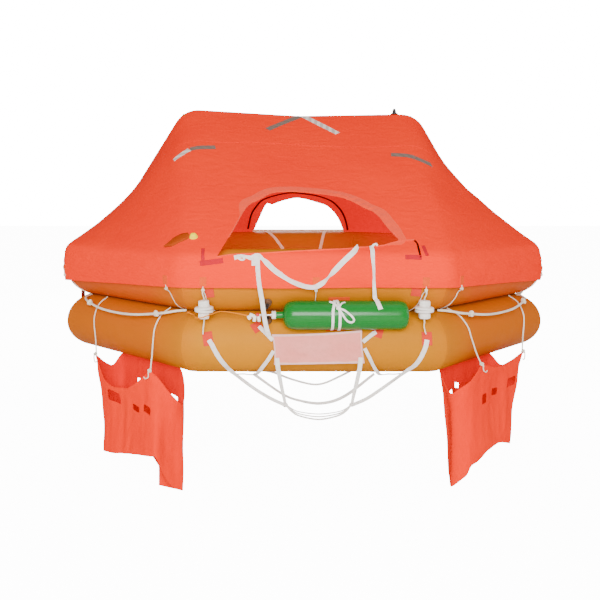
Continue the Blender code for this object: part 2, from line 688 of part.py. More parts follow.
on_ladder(plate("boarding_step", STEP_OUTLINE, 0.004,
                Matrix.Translation((0.0, STEP_Y, 0.0)) @ Matrix.Rotation(math.pi / 2, 4, "X"),
                PINK, 0.6))
on_ladder(strap("ladder_rung", [(-0.140, SEWN_Y, 0.030), (-0.136, SEWN_Y, -0.010),
                                (-0.124, STEP_Y, -0.080), (-0.108, STEP_Y, -0.145),
                                (-0.055, STEP_Y, -0.188), (0.016, STEP_Y, -0.203),
                                (0.085, STEP_Y, -0.188), (0.139, STEP_Y, -0.145),
                                (0.158, STEP_Y, -0.080), (0.170, SEWN_Y, -0.010),
                                (0.173, SEWN_Y, 0.030)], (0, -1, 0)))
strap("step_hanger_left", [(-0.208, -1.0803, 0.1428), (-0.185, -1.0960, 0.1350),
                           (-0.1565, STEP_Y, 0.1192)], (0, -0.81, 0.59), width=0.012, step=0.01)
strap("step_hanger_right", [(0.232, -1.0924, 0.1224), (0.208, -1.1025, 0.1225),
                            (0.1799, STEP_Y, 0.1225)], (0, -0.91, 0.42), width=0.010, step=0.01)

for thing in list(parts.objects):
    if thing.type == "MESH" and not thing.modifiers:
        thing.data.shade_smooth()
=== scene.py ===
import math

import bmesh
import bpy
from mathutils import Matrix, Vector
from mathutils.bvhtree import BVHTree
from mathutils.noise import noise


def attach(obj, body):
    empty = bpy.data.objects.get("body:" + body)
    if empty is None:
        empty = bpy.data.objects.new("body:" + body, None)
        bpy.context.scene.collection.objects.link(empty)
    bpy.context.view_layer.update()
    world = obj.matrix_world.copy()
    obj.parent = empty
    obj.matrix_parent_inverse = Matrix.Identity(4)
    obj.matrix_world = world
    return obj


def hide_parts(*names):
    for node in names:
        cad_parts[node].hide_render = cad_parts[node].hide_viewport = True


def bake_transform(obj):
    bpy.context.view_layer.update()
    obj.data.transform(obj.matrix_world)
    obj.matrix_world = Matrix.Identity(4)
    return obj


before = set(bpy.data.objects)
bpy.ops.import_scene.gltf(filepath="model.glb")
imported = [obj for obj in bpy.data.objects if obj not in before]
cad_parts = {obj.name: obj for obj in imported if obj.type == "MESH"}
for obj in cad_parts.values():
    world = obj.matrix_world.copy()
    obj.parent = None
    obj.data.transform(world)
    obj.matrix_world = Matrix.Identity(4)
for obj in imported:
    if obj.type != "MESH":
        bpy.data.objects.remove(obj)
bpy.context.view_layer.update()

raft = {"halfBeam": 1.1, "halfSide": 0.5, "tubeRadius": 0.12, "underside": -0.05,
        "lowerZ": 0.07, "upperZ": 0.3103, "seamZ": 0.19015}
tubeLine = raft["halfBeam"] - raft["tubeRadius"]
front = Vector((0, -1, 0))
upward = Vector((0, 0, 1))


# Small tools used by every piece

def deselectAll():
    if bpy.context.object and bpy.context.object.mode != "OBJECT":
        bpy.ops.object.mode_set(mode="OBJECT")
    bpy.ops.object.select_all(action="DESELECT")


def pick(*things):
    deselectAll()
    for thing in things:
        thing.select_set(True)
    bpy.context.view_layer.objects.active = things[0]


def newest(name):
    thing = bpy.context.object
    thing.name = thing.data.name = name
    return thing


def joinAll(name, things):
    pick(*things)
    if len(things) > 1:
        bpy.ops.object.join()
    return newest(name)


def weld(thing, distance, outward=True):
    # Points that touch become one, so that sheets made in parts are whole
    pick(thing)
    bpy.ops.object.mode_set(mode="EDIT")
    bpy.ops.mesh.select_all(action="SELECT")
    bpy.ops.mesh.remove_doubles(threshold=distance)
    if outward:
        bpy.ops.mesh.normals_make_consistent(inside=False)
    bpy.ops.object.mode_set(mode="OBJECT")


def bakeModifiers(thing):
    pick(thing)
    for step in list(thing.modifiers):
        bpy.ops.object.modifier_apply(modifier=step.name)
    return thing


def softenEdges(thing, width, segments):
    soft = thing.modifiers.new("edges", "BEVEL")
    soft.width, soft.segments, soft.limit_method = width, segments, "ANGLE"
    bakeModifiers(thing)


def finishPiece(thing, materials, body="raft", smooth=50, stands=()):
    # Place goes into the mesh, then material, shading, body and the nodes it stands for
    pick(thing)
    bpy.ops.object.transform_apply(location=True, rotation=True, scale=True)
    if not isinstance(materials, list):
        materials = [materials]
    keep = [f.material_index for f in thing.data.polygons]
    thing.data.materials.clear()
    for m in materials:
        thing.data.materials.append(m)
    for face, index in zip(thing.data.polygons, keep):
        face.material_index = min(index, len(materials) - 1)
    bpy.ops.object.shade_smooth_by_angle(angle=math.radians(smooth))
    if body:
        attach(thing, body)
    if stands:
        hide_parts(*([stands] if isinstance(stands, str) else stands))
    return thing


def linkMesh(name, mesh):
    thing = bpy.data.objects.new(name, mesh)
    bpy.context.scene.collection.objects.link(thing)
    return thing


def facedOut(mesh):
    work = bmesh.new()
    work.from_mesh(mesh)
    bmesh.ops.recalc_face_normals(work, faces=work.faces)
    work.to_mesh(mesh)
    work.free()
    return mesh


def along(points):
    # How far each point lies along the line that they make
    run = [0.0]
    for p, q in zip(points, points[1:]):
        run.append(run[-1] + (Vector(q) - Vector(p)).length)
    return run


def clothFromRows(name, rows):
    # Rows of points become one sheet; its UV map is in metres
    wide = len(rows[0])
    points = [tuple(p) for row in rows for p in row]
    faces = [(i * wide + j, (i + 1) * wide + j, (i + 1) * wide + j + 1, i * wide + j + 1)
             for i in range(len(rows) - 1) for j in range(wide - 1)]
    mesh = bpy.data.meshes.new(name)
    mesh.from_pydata(points, [], faces)
    across = along(rows[len(rows) // 2])
    down = along([row[wide // 2] for row in rows])
    layer = mesh.uv_layers.new(name="cloth")
    for loop in mesh.loops:
        i, j = divmod(loop.vertex_index, wide)
        layer.data[loop.index].uv = (across[j], down[i])
    return linkMesh(name, mesh)


def thicken(thing, thickness, offset=-1.0, inner=0):
    pick(thing)
    while len(thing.data.materials) <= inner:
        thing.data.materials.append(None)
    shell = thing.modifiers.new("thickness", "SOLIDIFY")
    shell.thickness = thickness
    shell.offset = offset
    shell.material_offset = inner
    return bakeModifiers(thing)


def resampled(points, count):
    # The same line cut into a number of even steps
    lengths = along(points)
    out, j = [], 0
    for k in range(count + 1):
        want = lengths[-1] * k / count
        while j < len(points) - 2 and lengths[j + 1] < want:
            j += 1
        span = max(lengths[j + 1] - lengths[j], 1e-9)
        out.append(points[j].lerp(points[j + 1], min(1.0, (want - lengths[j]) / span)))
    return out


def smoothRoute(points, step):
    # Even steps along a smooth curve through the points
    route = [Vector(p) for p in points]
    ends = [2 * route[0] - route[1]] + route + [2 * route[-1] - route[-2]]
    fine = [route[0]]
    for a, b, c, d in zip(ends, ends[1:], ends[2:], ends[3:]):
        for k in range(1, 17):
            t = k / 16
            fine.append(0.5 * (2 * b + (c - a) * t + (2 * a - 5 * b + 4 * c - d) * t * t
                               + (3 * b - a - 3 * c + d) * t ** 3))
    return resampled(fine, max(2, round(along(fine)[-1] / step)))


def evenly(points, count):
    # The same smooth curve cut into a fixed number of steps
    return resampled(smoothRoute(points, 0.01), count)


def sweepMesh(name, rings):
    # Closed rings become a tube with capped ends; its UV map is in metres
    n = len(rings[0])
    points = [tuple(p) for ring in rings for p in ring]
    faces = [(i * n + j, i * n + (j + 1) % n, (i + 1) * n + (j + 1) % n, (i + 1) * n + j)
             for i in range(len(rings) - 1) for j in range(n)]
    walls = len(faces)
    faces += [tuple(reversed(range(n))), tuple(range((len(rings) - 1) * n, len(rings) * n))]
    mesh = bpy.data.meshes.new(name)
    mesh.from_pydata(points, [], faces)
    upRun = along([ring[0] for ring in rings])
    around = along(list(rings[0]) + [rings[0][0]])
    layer = mesh.uv_layers.new(name="cloth")
    for face in mesh.polygons:
        if face.index < walls:
            i, j = divmod(face.index, n)
            for corner, loop in enumerate(face.loop_indices):
                layer.data[loop].uv = (around[j + (corner in (1, 2))], upRun[i + (corner > 1)])
    return linkMesh(name, facedOut(mesh))


def cordPiece(name, points, radius, step=0.006, sides=8, waver=0.0, seed=0.0, taper=None):
    # A round cord on a smooth route; waver is a small slackness in metres
    route = smoothRoute(points, step)
    count = len(route) - 1
    for i, p in enumerate(route):
        calm = min(1.0, i / 4, (count - i) / 4)
        wind = Vector((noise(p * 9 + Vector((seed, 0, 0))), noise(p * 9 + Vector((0, seed, 5))),
                       noise(p * 9 + Vector((3, 0, seed)))))
        route[i] = p + wind * waver * calm
    side = None
    rings = []
    for i, p in enumerate(route):
        t = (route[min(i + 1, count)] - route[max(i - 1, 0)]).normalized()
        if side is None:
            side = t.orthogonal().normalized()
        side = (side - t * side.dot(t)).normalized()
        other = t.cross(side)
        r = radius * (taper(i / count) if taper else 1.0)
        rings.append([p + (side * math.cos(math.tau * k / sides) + other * math.sin(math.tau * k / sides)) * r
                      for k in range(sides)])
    return sweepMesh(name, rings), route


def strapPiece(name, points, width, outward, thickness=0.0016, step=0.008, turn=None, cup=0.0, waver=0.0,
               seed=0.0, taper=None):
    # Flat webbing on a smooth route; turn(t) twists it in degrees, cup rounds its edges back
    route = smoothRoute(points, step)
    count = len(route) - 1
    rings = []
    for i, p in enumerate(route):
        t = (route[min(i + 1, count)] - route[max(i - 1, 0)]).normalized()
        out = Vector(outward(i / count)) if callable(outward) else Vector(outward)
        out = (out - t * out.dot(t)).normalized()
        if turn:
            out = Matrix.Rotation(math.radians(turn(i / count)), 3, t) @ out
        side = t.cross(out)
        half = width / 2 * (taper(i / count) if taper else 1.0)
        p = p + out * waver * noise(Vector((i * step * 16, seed, 0)))
        ring = []
        for face, order in ((1, range(-3, 4)), (-1, range(3, -4, -1))):
            for k in order:
                deep = thickness / 2 * (0.55 if abs(k) == 3 else 1) * face - cup * (k / 3) ** 2
                ring.append(p + side * half * k / 3 + out * deep)
        rings.append(ring)
    return sweepMesh(name, rings)


def ramp(x, low, high):
    t = min(1.0, max(0.0, (x - low) / (high - low)))
    return t * t * (3 - 2 * t)


def near(x, middle, width):
    return math.exp(-((x - middle) / width) ** 2)


# Material tools

def newGroup(name, inputs, outputs):
    tree = bpy.data.node_groups.new(name, "ShaderNodeTree")
    for label, kind, value in inputs:
        socket = tree.interface.new_socket(label, in_out="INPUT", socket_type=kind)
        if value is not None:
            socket.default_value = value
    for label, kind in outputs:
        tree.interface.new_socket(label, in_out="OUTPUT", socket_type=kind)
    return tree, tree.nodes.new("NodeGroupInput"), tree.nodes.new("NodeGroupOutput")


def feed(tree, socket, value):
    # A value that is a socket is linked, any other is set
    if isinstance(value, bpy.types.NodeSocket):
        tree.links.new(value, socket)
    else:
        socket.default_value = value


def put(tree, kind, inputs=None, **settings):
    made = tree.nodes.new("ShaderNode" + kind)
    for key, value in settings.items():
        setattr(made, key, value)
    for key, value in (inputs or {}).items():
        feed(tree, made.inputs[key], value)
    return made


def placeGroup(tree, group, **inputs):
    made = tree.nodes.new("ShaderNodeGroup")
    made.node_tree = group
    for key, value in inputs.items():
        feed(tree, made.inputs[key], value)
    return made.outputs


def sums(tree, a, b, operation="ADD"):
    return put(tree, "Math", {0: a, 1: b}, operation=operation).outputs[0]


def spread(tree, value, low, high, toLow=0.0, toHigh=1.0):
    return put(tree, "MapRange", {"Value": value, "From Min": low, "From Max": high,
                                  "To Min": toLow, "To Max": toHigh}).outputs["Result"]


def blendColors(tree, factor, a, b, kind="MIX"):
    made = put(tree, "Mix", {0: factor}, data_type="RGBA", blend_type=kind)
    feed(tree, made.inputs[6], a)
    feed(tree, made.inputs[7], b)
    return made.outputs[2]


def bumpOf(tree, height, strength, distance, under=None):
    below = {"Normal": under} if under else {}
    return put(tree, "Bump", {"Height": height, "Strength": strength, "Distance": distance, **below}).outputs[0]


def wire(tree, shader, base, normal, rough=None):
    tree.links.new(base, shader.inputs["Base Color"])
    if rough:
        tree.links.new(rough, shader.inputs["Roughness"])
    tree.links.new(normal, shader.inputs["Normal"])


def newMaterial(name, roughness=0.6, **fixed):
    made = bpy.data.materials.new(name)
    made.use_nodes = True
    tree = made.node_tree
    shader = tree.nodes["Principled BSDF"]
    shader.inputs["Roughness"].default_value = roughness
    for key, value in fixed.items():
        shader.inputs[key.replace("_", " ")].default_value = value
    return made, tree, shader


# Shared effects: thread weave, cloudy fading, fine creases, darker patches towards the bottom
def makeEffects():
    effects = {}
    vector, number = "NodeSocketVector", "NodeSocketFloat"

    tree, inside, outside = newGroup("threadWeave", [("Vector", vector, None), ("Threads", number, 900.0)],
                                     [("Height", number), ("Shade", number)])
    scaled = put(tree, "VectorMath", {0: inside.outputs[0]}, operation="SCALE")
    tree.links.new(inside.outputs["Threads"], scaled.inputs["Scale"])
    parts = put(tree, "SeparateXYZ", {0: scaled.outputs[0]})
    warp = put(tree, "Math", {0: parts.outputs[0]}, operation="SINE")
    weft = put(tree, "Math", {0: parts.outputs[1]}, operation="SINE")
    height = sums(tree, sums(tree, warp.outputs[0], weft.outputs[0], "MULTIPLY"), 0.5, "MULTIPLY")
    grain = put(tree, "TexNoise", {"Vector": inside.outputs[0], "Scale": 260.0, "Detail": 2.0})
    tree.links.new(sums(tree, height, 0.5), outside.inputs["Height"])
    tree.links.new(spread(tree, grain.outputs["Fac"], 0.3, 0.7, 0.92, 1.06), outside.inputs["Shade"])
    effects["weave"] = tree

    tree, inside, outside = newGroup("cloudyFade", [("Vector", vector, None), ("Scale", number, 3.0)],
                                     [("Broad", number), ("Fine", number)])
    broad = put(tree, "TexNoise", {"Vector": inside.outputs[0], "Scale": inside.outputs[1], "Detail": 3.0,
                                   "Roughness": 0.5})
    fine = put(tree, "TexNoise", {"Vector": inside.outputs[0], "Detail": 5.0, "Roughness": 0.65,
                                  "Scale": sums(tree, inside.outputs[1], 9.0, "MULTIPLY")})
    tree.links.new(spread(tree, broad.outputs["Fac"], 0.32, 0.68), outside.inputs["Broad"])
    tree.links.new(spread(tree, fine.outputs["Fac"], 0.3, 0.72), outside.inputs["Fine"])
    effects["fade"] = tree

    tree, inside, outside = newGroup("fineCreases", [("Vector", vector, None), ("Scale", number, 14.0),
                                                     ("Flatten", number, 3.0)], [("Height", number)])
    squeezed = put(tree, "CombineXYZ", {0: 1.0, 1: 1.0})
    tree.links.new(inside.outputs["Flatten"], squeezed.inputs[2])
    stretched = put(tree, "VectorMath", {0: inside.outputs[0], 1: squeezed.outputs[0]}, operation="MULTIPLY")
    folds = put(tree, "TexNoise", {"Vector": stretched.outputs[0], "Scale": inside.outputs["Scale"], "Detail": 4.0,
                                   "Roughness": 0.5, "Distortion": 0.6})
    ridge = put(tree, "Math", {0: sums(tree, folds.outputs["Fac"], 0.5, "SUBTRACT")}, operation="ABSOLUTE")
    tree.links.new(spread(tree, ridge.outputs[0], 0.0, 0.16, 1.0, 0.0), outside.inputs["Height"])
    effects["crease"] = tree

    # A mask that darkens the colour towards the bottom, in patches
    tree, inside, outside = newGroup("darkerLow", [("Vector", vector, None), ("Plain Height", number, 0.1),
                                                  ("Darkest Height", number, -0.1)], [("Mask", number)])
    parts = put(tree, "SeparateXYZ", {0: inside.outputs[0]})
    cloud = put(tree, "TexNoise", {"Vector": inside.outputs[0], "Scale": 11.0, "Detail": 6.0, "Roughness": 0.7})
    level = put(tree, "MapRange", {"Value": parts.outputs[2], "From Min": inside.outputs["Darkest Height"],
                                   "From Max": inside.outputs["Plain Height"], "To Min": 1.0, "To Max": 0.0})
    spots = spread(tree, cloud.outputs["Fac"], 0.42, 0.75)
    tree.links.new(sums(tree, level.outputs["Result"], spots, "MULTIPLY"), outside.inputs["Mask"])
    effects["grime"] = tree
    return effects


effects = makeEffects()


def rgb(red, green, blue):
    return (red, green, blue, 1.0)


def coatedCloth(name, light, deep, dirty, roughness, creaseScale, creaseDepth, threads=2600.0, paintedGlow=None,
                flatten=3.0, specular=0.03, sheen=0.0):
    # Woven, coated cloth: weave from its UV map, fading and creases from its place
    made, tree, shader = newMaterial(name, roughness, Specular_IOR_Level=specular)
    # paintedGlow is painted light: the cloth glows though it is no lamp
    if paintedGlow:
        shader.inputs["Emission Color"].default_value = paintedGlow
        shader.inputs["Emission Strength"].default_value = 1.0
    if sheen:
        shader.inputs["Sheen Weight"].default_value = sheen
        shader.inputs["Sheen Roughness"].default_value = 0.5
    where = put(tree, "TexCoord").outputs
    weave = placeGroup(tree, effects["weave"], Vector=where["UV"], Threads=threads)
    fade = placeGroup(tree, effects["fade"], Vector=where["Object"], Scale=2.6)
    crease = placeGroup(tree, effects["crease"], Vector=where["Object"], Scale=creaseScale, Flatten=flatten)
    base = blendColors(tree, fade["Broad"], light, deep)
    base = blendColors(tree, spread(tree, fade["Fine"], 0.0, 1.0, 0.0, 0.14), base, dirty)
    base = blendColors(tree, 1.0, base, weave["Shade"], "MULTIPLY")
    folds = bumpOf(tree, crease["Height"], 0.35, creaseDepth)
    wire(tree, shader, base, bumpOf(tree, weave["Height"], 0.25, 0.0002, folds),
         spread(tree, fade["Fine"], 0.0, 1.0, roughness - 0.05, roughness + 0.07))
    return made


def coatedTube(name, light, deep, grimeColor, roughness=0.46, specular=0.035, paintedSideLight=None):
    # Rubber-coated cloth under air pressure: satin, faintly mottled, darker in patches low down
    made, tree, shader = newMaterial(name, roughness, Specular_IOR_Level=specular)
    where = put(tree, "TexCoord").outputs
    fade = placeGroup(tree, effects["fade"], Vector=where["Object"], Scale=2.2)
    crease = placeGroup(tree, effects["crease"], Vector=where["Object"], Scale=7.0, Flatten=1.0)
    grime = placeGroup(tree, effects["grime"], Vector=where["Object"])
    grain = put(tree, "TexNoise", {"Vector": where["Object"], "Scale": 420.0, "Detail": 3.0})
    base = blendColors(tree, fade["Broad"], light, deep)
    # Painted light and shade: the sides away from the front get their own colour. It is redder on the upper tube, for
    # light through the canopy, and less yellow on the lower tube than its brightly lit front
    if paintedSideLight:
        across = put(tree, "Math", {0: put(tree, "SeparateXYZ", {0: where["Object"]}).outputs[0]},
                     operation="ABSOLUTE")
        base = blendColors(tree, spread(tree, across.outputs[0], 0.42, 0.66), base, paintedSideLight)
    base = blendColors(tree, spread(tree, grime["Mask"], 0.0, 1.0, 0.0, 0.3), base, grimeColor)
    base = blendColors(tree, 1.0, base, spread(tree, grain.outputs["Fac"], 0.3, 0.7, 0.96, 1.03), "MULTIPLY")
    soft = bumpOf(tree, crease["Height"], 0.15, 0.0012)
    wire(tree, shader, base, bumpOf(tree, grain.outputs["Fac"], 0.2, 0.0002, soft),
         spread(tree, fade["Fine"], 0.0, 1.0, roughness - 0.06, roughness + 0.1))
    return made


def wovenStrap(name, light, deep, dirty, ribs=1500.0, roughness=0.75, depth=0.0005):
    # Webbing and cord: ribs and threads follow the piece, soiled in patches
    made, tree, shader = newMaterial(name, roughness, Specular_IOR_Level=0.12)
    where = put(tree, "TexCoord").outputs
    weave = placeGroup(tree, effects["weave"], Vector=where["UV"], Threads=ribs)
    fade = placeGroup(tree, effects["fade"], Vector=where["Object"], Scale=9.0)
    base = blendColors(tree, fade["Broad"], light, deep)
    base = blendColors(tree, spread(tree, fade["Fine"], 0.35, 1.0, 0.0, 0.35), base, dirty)
    lines = spread(tree, weave["Height"], 0.0, 1.0, 0.82, 1.04)
    base = blendColors(tree, 1.0, base, lines, "MULTIPLY")
    wire(tree, shader, base, bumpOf(tree, weave["Height"], 0.6, depth),
         spread(tree, fade["Fine"], 0.0, 1.0, roughness - 0.08, roughness + 0.08))
    return made


def hardFinish(name, light, worn, roughness=0.4, metal=0.0, specular=0.4, scratches=0.25, coat=0.0):
    # Painted, plated or moulded parts: cloudy colour, scratches, rubbed edges
    made, tree, shader = newMaterial(name, roughness, Specular_IOR_Level=specular, Metallic=metal,
                                     Coat_Weight=coat, Coat_Roughness=0.12)
    where = put(tree, "TexCoord").outputs
    fade = placeGroup(tree, effects["fade"], Vector=where["Object"], Scale=7.0)
    scratchPlace = put(tree, "Mapping", {"Vector": where["Object"], "Scale": (3.0, 40.0, 90.0),
                                         "Rotation": (0.3, 0.2, 0.5)})
    scratch = put(tree, "TexNoise", {"Vector": scratchPlace.outputs[0], "Scale": 4.0, "Detail": 8.0,
                                     "Roughness": 0.8})
    edge = put(tree, "NewGeometry").outputs["Pointiness"]
    rubbed = spread(tree, edge, 0.53, 0.62, 0.0, scratches)
    lines = spread(tree, scratch.outputs["Fac"], 0.6, 0.72, 0.0, scratches)
    base = blendColors(tree, spread(tree, fade["Fine"], 0.0, 1.0, 0.0, 0.25), light, worn)
    base = blendColors(tree, put(tree, "Math", {0: rubbed, 1: lines}, operation="MAXIMUM").outputs[0], base, worn)
    wire(tree, shader, base, bumpOf(tree, scratch.outputs["Fac"], 0.12, 0.0003),
         spread(tree, scratch.outputs["Fac"], 0.3, 0.7, roughness - 0.06, roughness + 0.12))
    return made


def tapeFinish(name, light, dark, bars):
    # Retro-reflective tape: fine cells and slanting bars across its length
    made, tree, shader = newMaterial(name, 0.35, Specular_IOR_Level=0.5)
    where = put(tree, "TexCoord").outputs
    cells = put(tree, "TexVoronoi", {"Vector": where["UV"], "Scale": 520.0})
    wave = put(tree, "TexWave", {"Vector": where["UV"], "Scale": 14.0, "Distortion": 0.6, "Detail": 1.0},
               bands_direction="DIAGONAL")
    slant = spread(tree, wave.outputs["Fac"], 0.45, 0.6, 0.0, bars)
    base = blendColors(tree, slant, light, dark)
    base = blendColors(tree, 1.0, base, spread(tree, cells.outputs["Distance"], 0.0, 0.6, 1.05, 0.86), "MULTIPLY")
    wire(tree, shader, base, bumpOf(tree, cells.outputs["Distance"], 0.3, 0.0003))
    return made


# Materials: colours are linear red, green, blue
# The canopy and pocket cloths carry a painted glow. It is painted light that brightens them, and on their inner faces
# it stands in for light coming through the cloth
looks = {
    "canopy": coatedCloth("canopyCloth", rgb(0.98, 0.03, 0.0003), rgb(0.93, 0.023, 0.0003), rgb(0.74, 0.03, 0.001),
                          0.58, 9.0, 0.004, paintedGlow=rgb(0.11, 0.0006, 0.0), specular=0.01),
    "canopyInside": coatedCloth("canopyInside", rgb(0.8, 0.01, 0.004), rgb(0.7, 0.008, 0.004),
                                rgb(0.45, 0.008, 0.004), 0.7, 9.0, 0.003, paintedGlow=rgb(0.62, 0.0008, 0.0016)),
    "hem": coatedCloth("hemCloth", rgb(0.99, 0.074, 0.02), rgb(0.97, 0.054, 0.012), rgb(0.75, 0.04, 0.01),
                       0.6, 16.0, 0.002, sheen=0.1),
    "hemDark": coatedCloth("zipTape", rgb(0.035, 0.003, 0.002), rgb(0.02, 0.002, 0.001), rgb(0.05, 0.01, 0.008),
                           0.6, 16.0, 0.002),
    "pocket": coatedCloth("pocketCloth", rgb(0.98, 0.03, 0.0004), rgb(0.92, 0.02, 0.0003), rgb(0.66, 0.03, 0.004),
                          0.62, 7.0, 0.007, flatten=0.6, paintedGlow=rgb(0.09, 0.0005, 0.0), specular=0.01),
    "pocketInside": coatedCloth("pocketInside", rgb(0.8, 0.012, 0.003), rgb(0.7, 0.01, 0.002),
                                rgb(0.5, 0.01, 0.002), 0.7, 7.0, 0.005, flatten=0.6,
                                paintedGlow=rgb(0.16, 0.002, 0.001)),
    # The tubes' side colours are painted light and shade
    "upperTube": coatedTube("upperTubeCoat", rgb(0.52, 0.17, 0.001), rgb(0.46, 0.142, 0.001), rgb(0.22, 0.07, 0.004),
                            paintedSideLight=rgb(0.6, 0.088, 0.0012)),
    "lowerTube": coatedTube("lowerTubeCoat", rgb(0.56, 0.205, 0.001), rgb(0.5, 0.175, 0.001), rgb(0.25, 0.09, 0.004),
                            paintedSideLight=rgb(0.52, 0.115, 0.001)),
    "floor": coatedTube("floorCoat", rgb(0.42, 0.09, 0.004), rgb(0.36, 0.075, 0.003), rgb(0.2, 0.05, 0.006), 0.6,
                        0.2),
    "webbing": wovenStrap("webbingWhite", rgb(0.98, 0.93, 0.87), rgb(0.9, 0.82, 0.74), rgb(0.58, 0.46, 0.36)),
    "cord": wovenStrap("cordWhite", rgb(0.92, 0.84, 0.7), rgb(0.8, 0.7, 0.54), rgb(0.5, 0.4, 0.28), 2400.0),
    "cordOrange": wovenStrap("cordOrange", rgb(0.9, 0.28, 0.006), rgb(0.8, 0.22, 0.004), rgb(0.5, 0.14, 0.01),
                             2400.0),
    "patch": wovenStrap("patchRed", rgb(0.78, 0.05, 0.022), rgb(0.68, 0.036, 0.016), rgb(0.5, 0.05, 0.03), 1800.0),
    "patchOrange": wovenStrap("patchOrange", rgb(0.93, 0.085, 0.003), rgb(0.86, 0.065, 0.003), rgb(0.6, 0.06, 0.01),
                              1800.0),
    "mark": wovenStrap("markRed", rgb(0.58, 0.0035, 0.016), rgb(0.48, 0.0025, 0.012), rgb(0.62, 0.02, 0.05), 900.0),
    "step": wovenStrap("stepCloth", rgb(0.98, 0.34, 0.28), rgb(0.95, 0.28, 0.23), rgb(0.7, 0.26, 0.2), 1100.0, 0.8,
                       0.0008),
    "stepHem": wovenStrap("stepHem", rgb(0.95, 0.55, 0.5), rgb(0.9, 0.48, 0.42), rgb(0.75, 0.35, 0.3), 1500.0),
    "tapeGrey": tapeFinish("tapeGrey", rgb(0.215, 0.15, 0.115), rgb(0.15, 0.105, 0.08), 0.5),
    "tapeWhite": tapeFinish("tapeWhite", rgb(0.92, 0.8, 0.7), rgb(0.55, 0.42, 0.36), 0.8),
    "paint": hardFinish("cylinderPaint", rgb(0.003, 0.15, 0.016), rgb(0.012, 0.22, 0.035), 0.24, scratches=0.3,
                        specular=0.22, coat=0.12),
    "steel": hardFinish("steelRod", rgb(0.62, 0.6, 0.57), rgb(0.35, 0.33, 0.3), 0.28, metal=1.0),
    "plastic": hardFinish("whitePlastic", rgb(0.9, 0.84, 0.78), rgb(0.72, 0.62, 0.52), 0.38, scratches=0.18),
    "capRed": hardFinish("capRed", rgb(0.62, 0.02, 0.015), rgb(0.4, 0.02, 0.015), 0.4),
    "brass": hardFinish("darkBrass", rgb(0.16, 0.085, 0.045), rgb(0.34, 0.2, 0.11), 0.38, metal=0.4, scratches=0.4),
    "rubber": hardFinish("blackRubber", rgb(0.018, 0.016, 0.015), rgb(0.05, 0.045, 0.04), 0.6, scratches=0.15),
    "lamp": hardFinish("lampLens", rgb(0.92, 0.74, 0.0002), rgb(0.92, 0.8, 0.0004), 0.4, specular=0.05,
                       scratches=0.1),
    # The pouch's dark colour is partly its own and partly painted shade of the gap in the pouch
    "pouch": coatedCloth("pouchClothAndShade", rgb(0.44, 0.062, 0.003), rgb(0.3, 0.036, 0.002), rgb(0.2, 0.03, 0.002), 0.6,
                         20.0, 0.002),
    "dark": hardFinish("darkPlastic", rgb(0.02, 0.018, 0.018), rgb(0.07, 0.06, 0.06), 0.42),
}
print("materials ready")

# Canopy: one sheet from the arch down to the skirt's edge, in columns around the raft
canopy = {
    "archRoute": [(-0.985, 0.38), (-0.572, 1.045), (0.0, 1.01), (0.586, 1.02), (0.952, 0.38)],
    "archBend": 0.065, "skinRadius": 0.0745, "leavesLeft": 0.65, "leavesRight": 0.738,
    "skirt": [(0.118, 0.116), (0.134, 0.088), (0.142, 0.05), (0.143, 0.012), (0.137, -0.018)],
    "sideDrop": 0.034, "rightDrawnIn": 0.014, "sag": 0.012, "step": 0.015, "rowsOnArch": 7, "rowsBelow": 74,
    "thickness": 0.0016, "shareLeft": 0.93, "wave": 0.0058, "fold": 0.0042, "wrinkle": 0.0096, "fineWrinkle": 0.002,
}


def roundedBends(points, radius, steps):
    # Straight runs with an arc at each bend
    points = [Vector(p) for p in points]
    out = [points[0]]
    for before, here, after in zip(points, points[1:], points[2:]):
        a, b = (before - here).normalized(), (after - here).normalized()
        half = (math.pi - a.angle(b)) / 2
        if half < 0.02:
            out.append(here)
            continue
        middle = here + (a + b).normalized() * radius / math.cos(half)
        start = here + a * radius * math.tan(half) - middle
        end = here + b * radius * math.tan(half) - middle
        axis = start.cross(end).normalized()
        for k in range(steps + 1):
            out.append(middle + Matrix.Rotation(start.angle(end) * k / steps, 3, axis) @ start)
    return out + [points[-1]]


archLine = roundedBends([(x, 0.0, z) for x, z in canopy["archRoute"]], canopy["archBend"], 5)
archRun = along(archLine)


def onArch(distance):
    for i in range(len(archLine) - 1):
        if archRun[i + 1] >= distance:
            break
    return archLine[i].lerp(archLine[i + 1], (distance - archRun[i]) / (archRun[i + 1] - archRun[i]))


def archFrame(distance):
    run = (onArch(min(archRun[-1], distance + 0.02)) - onArch(max(0.0, distance - 0.02))).normalized()
    return onArch(distance), Vector((-run.z, 0.0, run.x))


def archDistance(height, side):
    for k in range(800):
        d = archRun[-1] * k / 800
        d = archRun[-1] - d if side > 0 else d
        if onArch(d).z >= height:
            return d


def octagon(inset):
    far = raft["halfBeam"] - inset
    close = raft["halfSide"] - inset * (math.sqrt(2) - 1)
    return [(close, -far), (far, -close), (far, close), (close, far),
            (-close, far), (-far, close), (-far, -close), (-close, -far)]


def besideTube(place, out):
    # place counts sides from 0: the whole part is the corner, the rest how far to the next one
    corners = octagon(raft["tubeRadius"] - out)
    corner = math.floor(place)
    a, b = Vector((*corners[corner % 8], 0.0)), Vector((*corners[(corner + 1) % 8], 0.0))
    return a.lerp(b, place - corner)


def skirtSpot(place, out, soft=0.045):
    # Softened corners, and the right side drawn in a little
    spot = sum((besideTube(place + soft * k / 3, out) for k in range(-3, 4)), Vector()) / 7
    past = max(0.0, spot.x - raft["halfSide"]) / (raft["halfBeam"] - raft["halfSide"])
    return Vector((spot.x - canopy["rightDrawnIn"] * past, spot.y, spot.z))


